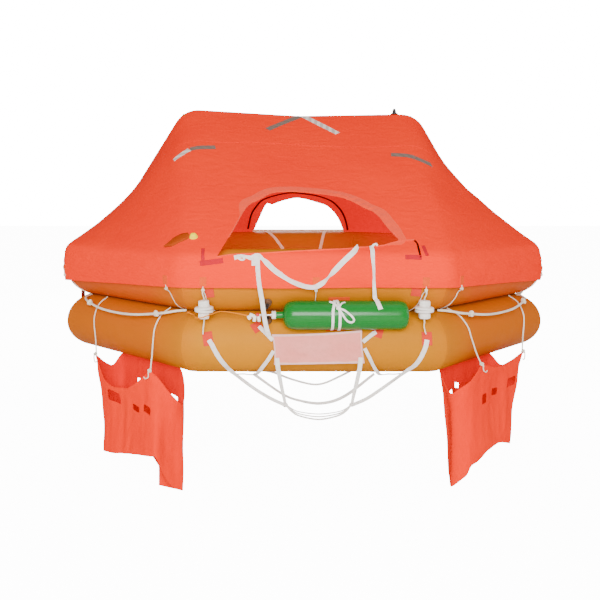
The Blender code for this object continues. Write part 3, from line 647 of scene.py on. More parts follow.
def canopyColumn(distance, place, swing=None):
    # One line of cloth from the arch down to the skirt; swing fixes where it leaves the arch
    centre, outward = archFrame(distance)
    foot = besideTube(place, 0.0)
    foot.z = raft["upperZ"]
    away = foot - centre
    flat = math.hypot(away.dot(front), away.dot(outward))
    lean = math.atan2(-away.dot(outward), away.dot(front)) + math.asin(min(1.0, canopy["skinRadius"] / flat))
    lean = min(max(lean, 0.0), 1.3) if swing is None else swing

    def over(angle):
        return centre + (outward * math.cos(angle) + front * math.sin(angle)) * canopy["skinRadius"]

    onTop = [over(lean * k / canopy["rowsOnArch"]) for k in range(canopy["rowsOnArch"])] if swing is None else []
    top = over(lean)
    shoulder = skirtSpot(place, canopy["skirt"][0][0])
    shoulder.z = raft["upperZ"] + canopy["skirt"][0][1]
    line = [top]
    for k in range(1, 6):
        t = k / 6
        line.append(top.lerp(shoulder, t) - upward * 4 * canopy["sag"] * t * (1 - t))
    line.append(shoulder)
    for i, (out, high) in enumerate(canopy["skirt"][1:]):
        spot = skirtSpot(place, out)
        toSide = min(1.0, max(0.0, (raft["halfBeam"] - abs(spot.y)) / (raft["halfBeam"] - raft["halfSide"])))
        spot.z = raft["upperZ"] + high - canopy["sideDrop"] * toSide * i / 3
        line.append(spot)
    return onTop + evenly(line, canopy["rowsBelow"])


leftLeaves, rightLeaves = archDistance(canopy["leavesLeft"], -1), archDistance(canopy["leavesRight"], 1)
bendLeft, bendRight = archRun[1:7], archRun[-7:-1]
stations = [(6.0, leftLeaves), (6.84, bendLeft[0])]
stations += list(zip((6.9, 6.96, 7.01, 7.04, 7.07), bendLeft[1:]))
stations += list(zip((7.93, 7.96, 7.99, 8.04, 8.1, 8.16), bendRight))
stations.append((9.0, rightLeaves))


def archFor(place):
    for (a, da), (b, db) in zip(stations, stations[1:]):
        if place <= b:
            return da + (db - da) * (place - a) / (b - a)
    return stations[-1][1]


def clothDisplace(spot, t):
    # Height of the folds at a point of the canopy, in metres along its outward side
    x, y, z = spot
    wave = noise(Vector((x * 3.1 + 7.0, y * 3.1, z * 3.1)))
    h = canopy["wave"] * wave * ramp(t, 0.06, 0.25)
    # long soft folds that hang from the arch and fade down the slope
    fan = noise(Vector((x * 13.0, 3.7, z * 1.6 + y * 0.8)))
    h += canopy["fold"] * fan * ramp(t, 0.08, 0.2) * (1 - ramp(t, 0.45, 0.8))
    # level wrinkles in the band above the tube
    band = near(z, 0.345, 0.075)
    level = noise(Vector((x * 4.0 + y * 4.0, 11.3, z * 62.0 + noise(Vector((x * 5, y * 5, 2.0))) * 2.2)))
    h += canopy["wrinkle"] * level * band * (0.55 + 0.45 * noise(Vector((x * 2.3, y * 2.3, 5.0))))
    fineLevel = noise(Vector((x * 9.0 + y * 9.0, 1.3, z * 120.0)))
    h += canopy["fineWrinkle"] * fineLevel * band
    return h


def canopyRows(columns):
    rows = [list(row) for row in zip(*columns)]
    count = len(rows)
    out = []
    for i, row in enumerate(rows):
        line = []
        for j, p in enumerate(row):
            a = row[min(j + 1, len(row) - 1)] - row[max(j - 1, 0)]
            b = rows[min(i + 1, count - 1)][j] - rows[max(i - 1, 0)][j]
            normal = b.cross(a)
            normal = normal.normalized() if normal.length > 1e-9 else upward
            line.append(p + normal * clothDisplace(p, i / count))
        out.append(line)
    return out


def makeCanopy():
    pieces = []
    count = round(3 * 0.9 / canopy["step"])
    places = [6.0 + 3.0 * k / count for k in range(count + 1)]
    columns = [canopyColumn(archFor(s), s) for s in places]
    mirrored = [[Vector((p.x, -p.y, p.z)) for p in c] for c in reversed(columns)]
    pieces.append(clothFromRows("canopyFrontSheet", canopyRows(columns)))
    pieces.append(clothFromRows("canopyBackSheet", canopyRows(mirrored)))
    for distance, first, hand in [(leftLeaves, 5, 1), (rightLeaves, 1, -1)]:
        centre, outward = archFrame(distance)
        foot = besideTube(first + (1.0 if hand > 0 else 0.0), 0.0)
        foot.z = raft["upperZ"]
        away = foot - centre
        widest = (math.atan2(-away.dot(outward), abs(away.y))
                  + math.asin(canopy["skinRadius"] / math.hypot(abs(away.y), away.dot(outward))))
        steps = 2 * canopy["rowsOnArch"] * 4
        side = [canopyColumn(distance, first + k / steps, (-widest + 2 * widest * k / steps) * hand)
                for k in range(steps + 1)]
        pieces.append(clothFromRows("canopySideSheet", canopyRows(side)))
    return pieces


canopyPieces = makeCanopy()
print("canopy sheets laid out")

# Openings in the cloth: edges from left to right, across and height
openings = {
    "entrance": [(-0.3653, 0.4087), (-0.3163, 0.4941), (-0.2598, 0.5953), (-0.2059, 0.6271), (-0.1486, 0.6565),
                 (-0.0547, 0.6611), (0.0454, 0.653), (0.1294, 0.6404), (0.1886, 0.6186), (0.2309, 0.5919),
                 (0.273, 0.57), (0.293, 0.5349), (0.314, 0.4971), (0.338, 0.4639)],
    "entranceSill": [(-0.3653, 0.4087), (-0.2984, 0.4178), (-0.2052, 0.4208), (-0.1055, 0.4266), (0.0137, 0.4322),
                     (0.1214, 0.436), (0.1729, 0.4405), (0.2498, 0.4451), (0.297, 0.4551), (0.338, 0.4639)],
    "port": [(-0.2561, 0.4267), (-0.2117, 0.5253), (-0.1659, 0.6172), (-0.1227, 0.615), (-0.0803, 0.6331),
             (0.0194, 0.656), (0.0893, 0.6477), (0.1672, 0.6267), (0.2356, 0.6032), (0.3001, 0.5481),
             (0.346, 0.4847), (0.3789, 0.4267)],
    "cutY": 0.86, "cutDepth": 0.66,
}


def outline(edge, sill=None):
    line = [(p.x, p.z) for p in smoothRoute([(x, 0, z) for x, z in edge], 0.01)]
    if sill:
        line += [(p.x, p.z) for p in reversed(smoothRoute([(x, 0, z) for x, z in sill], 0.012))][1:-1]
    return line


def prism(name, outlinePoints, place, depth):
    # A cutter: a closed outline in its own X and Z, as deep as depth along Y
    n = len(outlinePoints)
    mesh = bpy.data.meshes.new(name)
    mesh.from_pydata([(x, y, z) for y in (-depth / 2, depth / 2) for x, z in outlinePoints], [],
                     [tuple(range(n)), tuple(reversed(range(n, 2 * n)))]
                     + [(i, i + n, (i + 1) % n + n, (i + 1) % n) for i in range(n)])
    thing = linkMesh(name, facedOut(mesh))
    thing.matrix_world = place
    return thing


def cutAway(thing, cutters):
    # Openings are cut with Blender's boolean; the cutters are thrown away
    bpy.context.view_layer.update()
    for cutter in cutters:
        hole = thing.modifiers.new("opening", "BOOLEAN")
        hole.operation, hole.object, hole.solver = "DIFFERENCE", cutter, "EXACT"
        bakeModifiers(thing)
        bpy.data.objects.remove(cutter)
    return thing


def meshTree(things):
    work = bmesh.new()
    for thing in things:
        work.from_mesh(thing.data)
    tree = BVHTree.FromBMesh(work)
    work.free()
    return tree


wholeTree = meshTree(canopyPieces)
entranceLine = outline(openings["entrance"], openings["entranceSill"])
portLine = outline(openings["port"])
canopySheet = joinAll("canopy_cloth", canopyPieces)
weld(canopySheet, 0.0004)
clothArea = sum(f.area for f in canopySheet.data.polygons)
thicken(canopySheet, canopy["thickness"], -1.0, 1)
cutters = [prism("openingCut", line, Matrix.Translation((0, y, 0)), openings["cutDepth"])
           for line, y in ((entranceLine, -openings["cutY"]), (portLine, openings["cutY"]))]
cutAway(canopySheet, cutters)
clothArea *= canopy["shareLeft"]
finishPiece(canopySheet, [looks["canopy"], looks["canopyInside"]], smooth=80,
            stands=["canopy_front", "canopy_back", "canopy_left", "canopy_right"])
print("canopy cut and thickened", len(canopySheet.data.polygons), round(clothArea, 3))


def toCloth(spot, lift=0.0):
    place, normal = wholeTree.find_nearest(Vector(spot))[:2]
    return place + normal * lift, normal


def clothAt(x, z, side=-1):
    return wholeTree.ray_cast(Vector((x, side * 2.0, z)), Vector((0, -side, 0)))[:2]


def layStrip(name, spots, width, lift=0.0006, thickness=0.0009, across=4, step=0.01, waver=0.0):
    # A strip lying on the canopy along spots that are on or near the cloth
    route = smoothRoute([toCloth(s)[0] for s in spots], step)
    rows = []
    for i, p in enumerate(route):
        t = (route[min(i + 1, len(route) - 1)] - route[max(i - 1, 0)]).normalized()
        p, normal = toCloth(p)
        side = normal.cross(t).normalized()
        shift = waver * noise(Vector((i * 0.3, width * 99, 0)))
        rows.append([toCloth(p + side * (width * (k / across - 0.5) + shift), lift)[0] for k in range(across + 1)])
    return thicken(clothFromRows(name, rows), thickness, 1.0)


# Rows of cloth beside an opening: a gathered band, stitched down at its outer edge
hem = {"entranceWidth": 0.044, "portWidth": 0.034, "roll": 0.0026, "gather": 0.0046, "lift": 0.001}


def hemBand(name, line, side, width, gather, rows=10, step=0.004):
    flat = smoothRoute([(x, 0, z) for x, z in line], step)
    points = [clothAt(p.x, p.z, side)[0] for p in flat]
    middle = sum(points, Vector()) / len(points)
    count = len(points) - 1
    out = []
    for i, p in enumerate(points):
        p, normal = toCloth(p)
        away = normal.cross(points[min(count, i + 2)] - points[max(0, i - 2)]).normalized()
        if away.dot(p - Vector((middle.x, middle.y, 0.4))) < 0:
            away = -away
        strength, far = gather(p), width(i / count)
        row = []
        for k in range(rows + 1):
            t = k / rows
            spot, n = toCloth(p + away * (t * far - 0.0015))
            fold = noise(Vector((i * step * 95, t * 0.8, side * 3.0)))
            fold += 0.55 * noise(Vector((i * step * 210, 7.0, t * 0.6)))
            swell = math.sin(math.pi * min(1.0, t * 1.25 + 0.12)) if t < 0.72 else 0.35 * (1 - t) / 0.28
            rise = hem["lift"] * (1 - 0.8 * ramp(t, 0.9, 1.0))
            rise += strength * max(0.0, 0.55 + 1.2 * fold) * max(0.0, swell)
            row.append(spot + n * rise)
        out.append(row)
    return out


def keptPart(line, test):
    # The part of a closed line that passes the test, in one run
    k = next(i for i in range(len(line)) if not test(line[i - 1]) and test(line[i]))
    return [p for p in line[k:] + line[:k] if test(p)]


archPart = keptPart(entranceLine, lambda p: p[1] > 0.545 - 0.1 * ramp(p[0], 0.0, 0.3) and p[0] < 0.335)
rows = hemBand("entrance_band", archPart, -1,
               lambda t: hem["entranceWidth"] * ramp(t, 0.0, 0.1) * (1 - 0.85 * ramp(t, 0.86, 1.0)) + 0.004,
               lambda p: 0.0008 + hem["gather"] * ramp(p.x, 0.02, 0.14) * (1 - ramp(p.x, 0.27, 0.33))
               + 0.0022 * near(p.x, -0.21, 0.06) + 0.0012 * near(p.x, -0.05, 0.08))
entranceBand = thicken(clothFromRows("entrance_hem_band", rows), 0.001, -1.0, 0)
rollSpots = [toCloth(clothAt(x, z)[0], 0.001)[0] for x, z in keptPart(entranceLine, lambda p: p[1] > 0.47)[::3]]
rollFront = cordPiece("entrance_roll", rollSpots, hem["roll"], 0.008, 8)[0]
sillLine = smoothRoute([(x, 0, z) for x, z in openings["entranceSill"]], 0.012)
rollSill = cordPiece("sill_roll", [toCloth(clothAt(p.x, p.z)[0], 0.001)[0] for p in sillLine], 0.0024, 0.01, 8)[0]
entranceHem = joinAll("entrance_hem_cloth", [entranceBand, rollFront, rollSill])
finishPiece(entranceHem, looks["hem"], smooth=70, stands="entrance_hem")

portArch = keptPart(portLine, lambda p: p[1] > 0.4275)
rows = hemBand("port_band", portArch, 1, lambda t: hem["portWidth"], lambda p: 0.001 + 0.0014 * near(p.x, 0.2, 0.1))
portBand = thicken(clothFromRows("port_hem_band", rows), 0.001, -1.0, 0)
portRoll = cordPiece("port_roll", [toCloth(clothAt(x, z, 1)[0], 0.001)[0] for x, z in portArch[::3]],
                     hem["roll"], 0.008, 8)[0]
portHem = joinAll("port_hem_cloth", [portBand, portRoll])
finishPiece(portHem, looks["hem"], smooth=70, stands="port_hem")
print("hems gathered")

# Zip tape inside the rear port, and a dark strip right of the entrance that is painted shadow along the flap's rolled
# edge
zipSpots = [(-0.2903, 1.0655, 0.4486), (-0.2648, 0.8939, 0.548), (-0.2309, 0.8012, 0.6032), (-0.1876, 0.7297, 0.6458),
            (-0.1033, 0.6773, 0.6747), (0.0114, 0.647, 0.6898), (0.1285, 0.6697, 0.6767), (0.2391, 0.7216, 0.6457),
            (0.3137, 0.8135, 0.5924), (0.3577, 0.906, 0.5368), (0.3871, 1.0068, 0.4788), (0.4016, 1.0766, 0.4402)]
slitSpots = [(0.3912, -1.0312, 0.467), (0.3982, -1.0568, 0.4523), (0.3954, -1.0905, 0.4322), (0.396, -1.1146, 0.4058)]
flapSpots = [(0.338, -1.0346, 0.4639), (0.3643, -1.0314, 0.4663), (0.3912, -1.0312, 0.467)]
for name, spots, width, lift, thickness, finish in [
        ("port_zip_tape", zipSpots, 0.011, -0.004, 0.0012, "hemDark"),
        ("port_zip_outside", zipSpots, 0.01, 0.0036, 0.0012, "hemDark"),
        # A dark strip that is painted shadow along the flap's edge
        ("entrance_slit", slitSpots, 0.007, 0.0006, 0.0009, "hemDark"),
        ("entrance_flap_seam", flapSpots, 0.006, 0.001, 0.002, "hem")]:
    finishPiece(layStrip(name, spots, width, lift, thickness), looks[finish], smooth=60)

# Strips sewn and stuck to the canopy: seams, reflective tapes, corner marks
strips = {
    "canopy_seam_front": ("canopy", 0.014, [(-0.62, -0.3, 0.88), (-0.5698, -0.302, 0.9164), (-0.3525, -0.31, 0.9157),
                                   (-0.1754, -0.303, 0.9139), (0.0167, -0.306, 0.9013), (0.2844, -0.328, 0.8919),
                                   (0.5973, -0.309, 0.8863), (0.66, -0.309, 0.85)]),
    "tape_left_white": ("tapeWhite", 0.036, [(-0.617, -0.3957, 0.8187), (-0.5979, -0.3951, 0.8355),
                                             (-0.5742, -0.3928, 0.8525), (-0.544, -0.3798, 0.872)]),
    "tape_left_grey": ("tapeGrey", 0.036, [(-0.5421, -0.379, 0.8729), (-0.5087, -0.3755, 0.8804),
                                           (-0.4659, -0.3673, 0.8835), (-0.4206, -0.3587, 0.8853)]),
    "tape_top_grey": ("tapeGrey", 0.034, [(-0.1665, -0.1795, 0.9921), (-0.1215, -0.1376, 1.0158),
                                          (-0.0684, -0.0941, 1.0419), (-0.023, -0.0547, 1.0644),
                                          (0.01, -0.029, 1.078)]),
    "tape_top_white": ("tapeWhite", 0.034, [(0.0267, -0.0309, 1.0782), (0.0718, -0.0772, 1.0493),
                                            (0.1194, -0.1302, 1.0167), (0.1578, -0.1744, 0.9893),
                                            (0.19, -0.2056, 0.9681)]),
    "tape_right_grey": ("tapeGrey", 0.036, [(0.422, -0.4019, 0.8455), (0.4639, -0.4073, 0.8432),
                                            (0.5002, -0.4163, 0.8387), (0.5306, -0.4294, 0.8282)]),
    "tape_right_white": ("tapeGrey", 0.036, [(0.532, -0.4298, 0.8276), (0.5526, -0.4367, 0.8182),
                                             (0.5815, -0.4346, 0.8065), (0.6111, -0.4204, 0.7946)]),
    "mark_left_upright": ("mark", 0.013, [(-0.4204, -1.0769, 0.4377), (-0.4174, -1.1127, 0.4057),
                                          (-0.4157, -1.1176, 0.3844)]),
    "mark_left_level": ("mark", 0.02, [(-0.4281, -1.1175, 0.3844), (-0.3848, -1.1171, 0.3887),
                                       (-0.3415, -1.1159, 0.3948)]),
    "mark_right_upright": ("mark", 0.013, [(0.4166, -1.0671, 0.4466), (0.4185, -1.0991, 0.4265),
                                           (0.4224, -1.1125, 0.4119)]),
    "mark_right_level": ("mark", 0.018, [(0.3394, -1.113, 0.4069), (0.3653, -1.1136, 0.407),
                                         (0.4009, -1.1152, 0.4046)]),
}
for name, (finish, width, spots) in strips.items():
    for hand in ((-1, 1) if name.startswith(("canopy_seam", "tape")) else (-1,)):
        laid = [(x, -y if hand > 0 else y, z) for x, y, z in spots]
        strip = layStrip(name + ("" if hand < 0 else "_rear"), laid, width, waver=0.0008)
        finishPiece(strip, looks[finish], smooth=40)
print("strips laid on the canopy")

# Inflated tubes: mitred rings with a lapped seam at each corner and small puckers beside it
tubes = {"around": 56, "along": 44, "pucker": 0.0016, "lap": 0.02, "lapRise": 0.0007, "swell": 0.0012}


def ringRows(height, radius, seed):
    rows = []
    for i in range(tubes["around"] + 1):
        angle = math.tau * i / tubes["around"]
        corners = [Vector((*c, 0)) for c in octagon(raft["tubeRadius"] - radius * math.cos(angle))]
        row = []
        for corner in range(8):
            a, b = corners[corner], corners[(corner + 1) % 8]
            outward = Vector(((b - a).y, -(b - a).x, 0)).normalized() * (1 if (b - a).cross(a).z < 0 else -1)
            away = (outward * math.cos(angle) + upward * math.sin(angle)).normalized()
            for k in range(tubes["along"]):
                u = 0.5 - 0.5 * math.cos(math.pi * (k / tubes["along"])) if k else 0.0
                spot = a.lerp(b, u)
                far = min(u, 1 - u) * (b - a).length
                folds = noise(Vector((angle * 7.0, corner * 3.1 + seed, (1 if u > 0.5 else 0) * 5.0 + far * 9)))
                rise = -tubes["pucker"] * 1.1 * near(far, 0.0, 0.012)
                rise += tubes["pucker"] * folds * near(far, 0.03, 0.028)
                rise += tubes["lapRise"] * (1 - ramp(far, tubes["lap"], tubes["lap"] + 0.003))
                rise += tubes["swell"] * noise(Vector((spot.x * 3, spot.y * 3, angle * 0.8 + seed)))
                row.append(Vector((spot.x, spot.y, height + radius * math.sin(angle))) + away * rise)
        row.append(row[0])
        rows.append(row)
    rows[-1] = list(rows[0])
    return rows


for name, height, seed, finish in [("lower_tube", raft["lowerZ"], 1.0, "lowerTube"),
                                   ("upper_tube", raft["upperZ"], 8.0, "upperTube")]:
    rows = ringRows(height, raft["tubeRadius"] - 0.0006, seed)
    ring = clothFromRows(name + "_skin", [list(reversed(r)) for r in rows])
    weld(ring, 0.00005)
    finishPiece(ring, looks[finish], smooth=35, stands=name)
print("tubes inflated")

# Arch tube under the canopy
archTube = cordPiece("arch_tube_skin", archLine, 0.0665, 0.014, 40,
                     taper=lambda t: 1.0 - 0.012 * (0.5 + 0.5 * math.cos(t * 90)))[0]
finishPiece(archTube, looks["upperTube"], smooth=60, stands="arch_tube")


# Floor cloth, welded under the lower tube, with slack ripples
def floorRows():
    corners = [Vector((x, y, 0)) for x, y in octagon(raft["tubeRadius"] + 0.003)]
    rows = []
    for i in range(41):
        t = i / 40
        row = []
        for corner in range(8):
            for k in range(16):
                spot = corners[corner].lerp(corners[(corner + 1) % 8], k / 16) * t
                ripple = noise(Vector((spot.x * 3.2, spot.y * 3.2, 0))) * 0.9 + 0.4 * noise(spot * 9)
                spot.z = raft["underside"] - 0.0026 + 0.0014 * ripple * (1 - ramp(t, 0.8, 1.0)) * ramp(t, 0.0, 0.1)
                row.append(spot)
        row.append(row[0])
        rows.append(row)
    return rows


floorCloth = clothFromRows("floor_cloth", floorRows())
weld(floorCloth, 0.0001, outward=False)
thicken(floorCloth, 0.0022, 0.0)
finishPiece(floorCloth, looks["floor"], smooth=60, stands="floor_sheet")
print("floor laid")

# Ballast pockets: limp bags. Stations go round the mouth from the inner far corner:
# along, outward, top height, then the foot's shift along and outward, and its height
pockets = {
    "front_left": {"side": (-1, -1), "stations": [
        (0.224, 0.004, -0.053, -0.03, 0.02, -0.42), (0.236, 0.045, -0.112, -0.04, 0.01, -0.43),
        (0.226, 0.1, -0.08, -0.05, 0.008, -0.44), (0.206, 0.147, -0.036, -0.052, 0.004, -0.438),
        (0.172, 0.15, -0.092, -0.04, 0.004, -0.434), (0.142, 0.15, -0.138, -0.03, 0.004, -0.432),
        (0.082, 0.147, -0.156, -0.02, 0.006, -0.426), (-0.032, 0.149, -0.142, -0.008, 0.0, -0.404),
        (-0.104, 0.154, -0.104, 0.0, -0.004, -0.392), (-0.187, 0.148, -0.042, -0.01, 0.0, -0.376),
        (-0.214, 0.132, -0.066, -0.002, 0.014, -0.366), (-0.232, 0.1, -0.121, 0.02, 0.004, -0.455),
        (-0.24, 0.055, -0.172, 0.036, 0.004, -0.515), (-0.226, 0.012, -0.2, 0.016, -0.004, -0.546),
        (-0.222, 0.003, -0.12, 0.006, 0.004, -0.54), (-0.195, 0.003, -0.053, -0.01, 0.024, -0.505),
        (-0.1, 0.002, -0.0525, 0.0, 0.03, -0.43), (0.06, 0.002, -0.0525, 0.0, 0.026, -0.42)],
        "slots": [(0.076, 0.092, -0.194, 0.046), (-0.08, 0.05, -0.212, 0.026), (-0.155, 0.046, -0.202, 0.032)],
        "rearSlots": [(-0.16, 0.05, -0.184, 0.03), (0.075, 0.042, -0.155, 0.024)],
        "cords": {"near": (-0.165, -0.188, -0.039), "far": (0.3, 0.205, -0.033)}},
    "front_right": {"side": (1, -1), "stations": [
        (0.224, 0.004, -0.053, -0.05, 0.02, -0.38), (0.24, 0.05, -0.112, -0.07, 0.01, -0.385),
        (0.242, 0.11, -0.07, -0.092, 0.006, -0.392), (0.24, 0.148, -0.03, -0.12, 0.004, -0.4),
        (0.225, 0.15, -0.036, -0.112, 0.004, -0.398), (0.14, 0.15, -0.054, -0.072, 0.004, -0.384),
        (0.07, 0.148, -0.064, -0.048, 0.004, -0.372), (-0.03, 0.148, -0.056, -0.056, 0.004, -0.374),
        (-0.1, 0.15, -0.034, -0.06, 0.004, -0.4), (-0.134, 0.151, -0.026, -0.082, 0.002, -0.404),
        (-0.17, 0.149, -0.052, -0.06, 0.002, -0.42), (-0.215, 0.138, -0.086, -0.014, 0.002, -0.444),
        (-0.244, 0.112, -0.112, -0.002, 0.0, -0.47), (-0.246, 0.078, -0.142, 0.0, -0.002, -0.506),
        (-0.228, 0.04, -0.104, 0.02, 0.006, -0.455), (-0.208, 0.003, -0.053, 0.02, 0.03, -0.405),
        (-0.1, 0.002, -0.0525, 0.0, 0.03, -0.39), (0.06, 0.002, -0.0525, -0.02, 0.026, -0.385)],
        "slots": [(0.133, 0.076, -0.142, 0.038), (0.003, 0.052, -0.161, 0.03), (-0.096, 0.036, -0.17, 0.042)],
        "rearSlots": [(-0.14, 0.026, -0.162, 0.024), (-0.07, 0.036, -0.146, 0.022)],
        "cords": {"near": (-0.19, -0.134, -0.023), "far": (0.36, 0.24, -0.027)}},
    "rear_left": {"side": (-1, 1), "stations": [
        (0.222, 0.006, -0.053, 0.0, 0.01, -0.38), (0.226, 0.07, -0.082, 0.0, 0.006, -0.386),
        (0.226, 0.147, -0.05, -0.008, -0.002, -0.384), (0.13, 0.152, -0.104, 0.0, 0.0, -0.376),
        (0.0, 0.148, -0.118, 0.0, 0.0, -0.382), (-0.13, 0.153, -0.1, 0.0, 0.0, -0.374),
        (-0.219, 0.147, -0.05, 0.006, 0.0, -0.39), (-0.226, 0.07, -0.084, 0.0, 0.006, -0.396),
        (-0.222, 0.004, -0.053, 0.0, 0.02, -0.386), (-0.1, 0.002, -0.0525, 0.0, 0.024, -0.38),
        (0.06, 0.002, -0.0525, 0.0, 0.024, -0.38)],
        "slots": [(0.14, 0.06, -0.18, 0.028), (0.01, 0.05, -0.19, 0.024), (-0.12, 0.056, -0.184, 0.026)],
        "rearSlots": [(-0.12, 0.04, -0.15, 0.02)],
        "cords": {"near": (-0.219, -0.219, -0.046), "far": (0.219, 0.219, -0.046)}},
}
pockets["rear_right"] = dict(pockets["rear_left"], side=(1, 1))


def pocketPlace(side):
    outward = Vector((side[0], side[1], 0)).normalized()
    run = Vector((side[0], -side[1], 0)).normalized()
    middle = outward * (raft["halfBeam"] + raft["halfSide"] - raft["tubeRadius"] * math.sqrt(2)) / math.sqrt(2)
    return middle - run * 0.08, run, outward


def makePocket(name, facts):
    middle, side, outward = pocketPlace(facts["side"])
    stations = facts["stations"]
    seed = sum(ord(c) for c in name) * 0.37
    count = len(stations)
    columns = []
    for i in range(count):
        a, b = stations[i], stations[(i + 1) % count]
        span = math.hypot(b[0] - a[0], b[1] - a[1])
        steps = max(2, round(span / 0.0085))
        for k in range(steps):
            u = k / steps
            columns.append([x + (y - x) * u for x, y in zip(a, b)])
    wide = len(columns)
    soft = []
    for j in range(wide):
        around = [columns[(j + k) % wide] for k in (-2, -1, 0, 1, 2)]
        soft.append([sum(c[m] * w for c, w in zip(around, (0.12, 0.22, 0.32, 0.22, 0.12))) for m in range(6)])
    down = 46
    rows, flat = [], []
    for i in range(down + 1):
        t = i / down
        row = []
        for j, (u, v, top, du, dv, low) in enumerate(soft):
            a, b = soft[j - 1], soft[(j + 1) % wide]
            across = Vector((b[0] - a[0], b[1] - a[1], 0)).normalized()
            out = Vector((across.y, -across.x, 0)) * -1
            z = top + (low - top) * t
            pu, pv = u + du * t, v + dv * t
            outerFace = ramp(v, 0.1, 0.145)
            hang = noise(Vector((pu * 13 + seed, pv * 13, z * 1.5)))
            fine = noise(Vector((pu * 34, pv * 34 + seed, z * 3.0)))
            cross = noise(Vector((pu * 6 + z * 7, seed, pv * 6 - z * 4)))
            pull = sum(near(pu, c, 0.05 + 0.1 * t) * math.exp(-t * 2.5) for c in (0.226, -0.219)) * outerFace
            belly = 0.016 * math.sin(math.pi * min(1.0, t * 1.1)) * (1 if v > 0.03 else 0.2)
            bend = (0.0085 * hang + 0.003 * fine + 0.0055 * cross) * ramp(t, 0.0, 0.25)
            bend *= 1.0 - 0.35 * ramp(t, 0.85, 1.0)
            push = bend + belly * 0.5 - 0.006 * pull
            spot = middle + side * pu + outward * pv + (side * out.x + outward * out.y) * push
            row.append(Vector((spot.x, spot.y, z)))
        row.append(row[0])
        rows.append(row)
    walls = clothFromRows(name + "_walls", rows)
    bottom = rows[-1]
    middleU = [min(max(c[0] + c[3], -0.15), 0.15) for c in soft]
    cap = [list(bottom)]
    for k in range(1, 6):
        t = k / 5
        ring = []
        for j in range(wide):
            target = middle + side * middleU[j] + outward * 0.08
            spot = bottom[j].lerp(Vector((target.x, target.y, bottom[j].z)), t)
            spot.z = bottom[j].z + 0.022 * t + 0.006 * noise(Vector((spot.x * 14, spot.y * 14, seed)))
            ring.append(spot)
        ring.append(ring[0])
        cap.append(ring)
    foot = clothFromRows(name + "_foot", cap)
    bag = joinAll(name + "_bag", [walls, foot])
    weld(bag, 0.0003)
    return bag, rows


for name, facts in pockets.items():
    bag, rows = makePocket("pocket_" + name, facts)
    thicken(bag, 0.0012, -1.0, 1)
    middle, side, outward = pocketPlace(facts["side"])
    cutters = []
    for out, slots in ((0.15, facts["slots"]), (0.004, facts["rearSlots"])):
        for u, long, height, tall in slots:
            turn = Matrix((side, outward, upward)).transposed().to_4x4()
            lean = Matrix.Rotation(0.5 * noise(Vector((u * 31, height * 17, out))), 4, "Y")
            edge = [(-0.5, -0.5), (0.42, -0.44), (0.5, 0.3), (0.4, 0.5), (-0.44, 0.46), (-0.5, 0.1)]
            cutters.append(prism("slotCut", [(x * long, z * tall) for x, z in edge],
                                 Matrix.Translation(middle + side * u + outward * out
                                                    + upward * height) @ turn @ lean, 0.07))
    cutAway(bag, cutters)
    finishPiece(bag, [looks["pocket"], looks["pocketInside"]], smooth=75,
                stands="pocket_" + name)
    rimLine = cordPiece("pocket_rim_" + name, rows[0], 0.0019, 0.008, 6)[0]
    finishPiece(rimLine, looks["pocket"], smooth=70)
print("pockets hung")

# Tools for pieces on the tubes: a spot at an angle up from the outermost line of a straight tube
def frontSpot(x, height, degrees, lift=0.0, side=-1):
    angle = math.radians(degrees)
    reach = raft["tubeRadius"] + lift
    return Vector((x, side * (tubeLine + reach * math.cos(angle)), height + reach * math.sin(angle)))


def frontPatch(name, x, height, degrees, wide, tall, lean=0.0, lift=0.0012, thickness=0.0016, side=-1):
    # A patch glued to the straight tube, following its curve
    rows = []
    for i in range(13):
        v = (i / 12 - 0.5) * tall
        row = []
        for j in range(13):
            u = (j / 12 - 0.5) * wide
            a, b = u * math.cos(lean) - v * math.sin(lean), u * math.sin(lean) + v * math.cos(lean)
            curl = 0.0009 * ramp(abs(u), wide * 0.34, wide * 0.5) * noise(Vector((x * 9 + v * 90, u * 50, height)))
            row.append(frontSpot(x + a, height, degrees + math.degrees(b / raft["tubeRadius"]), lift + curl, side))
        rows.append(row)
    patch = clothFromRows(name, rows)
    return thicken(patch, thickness, 1.0 if side < 0 else -1.0)


def knotPiece(name, centre, size, radius, seed=0.0):
    # A small overhand knot: one closed winding of the cord
    turns = []
    for k in range(61):
        a = math.tau * k / 60
        r = 1.0 + 0.42 * math.cos(3 * a)
        wound = Vector((r * math.cos(2 * a), 0.75 * math.sin(3 * a), r * math.sin(2 * a) * 1.2))
        turns.append(Vector(centre) + Matrix.Rotation(seed, 3, "Y") @ wound * size * 0.55)
    knot = cordPiece(name, turns[:-1], radius, 0.004, 7)[0]
    return knot


def turned(name, profile, sides=40, place=None, bevel=0.0):
    # Turned about Z: a disc pulled up ring by ring; profile is (radius, height), bottom first
    deselectAll()
    bpy.ops.mesh.primitive_circle_add(vertices=sides, radius=profile[0][0], location=(0, 0, 0), fill_type="NGON")
    thing = newest(name)
    bpy.ops.object.mode_set(mode="EDIT")
    bpy.ops.mesh.select_all(action="SELECT")
    bpy.ops.transform.translate(value=(0, 0, profile[0][1]))
    for (r0, h0), (r1, h1) in zip(profile, profile[1:]):
        bpy.ops.mesh.extrude_region_move(TRANSFORM_OT_translate={"value": (0, 0, h1 - h0)})
        bpy.ops.transform.resize(value=(r1 / r0, r1 / r0, 1), center_override=(0, 0, h1))
    bpy.ops.mesh.select_all(action="SELECT")
    bpy.ops.mesh.normals_make_consistent(inside=False)
    bpy.ops.object.mode_set(mode="OBJECT")
    if bevel:
        softenEdges(thing, bevel, 2)
    if place is not None:
        thing.matrix_world = place
    return thing


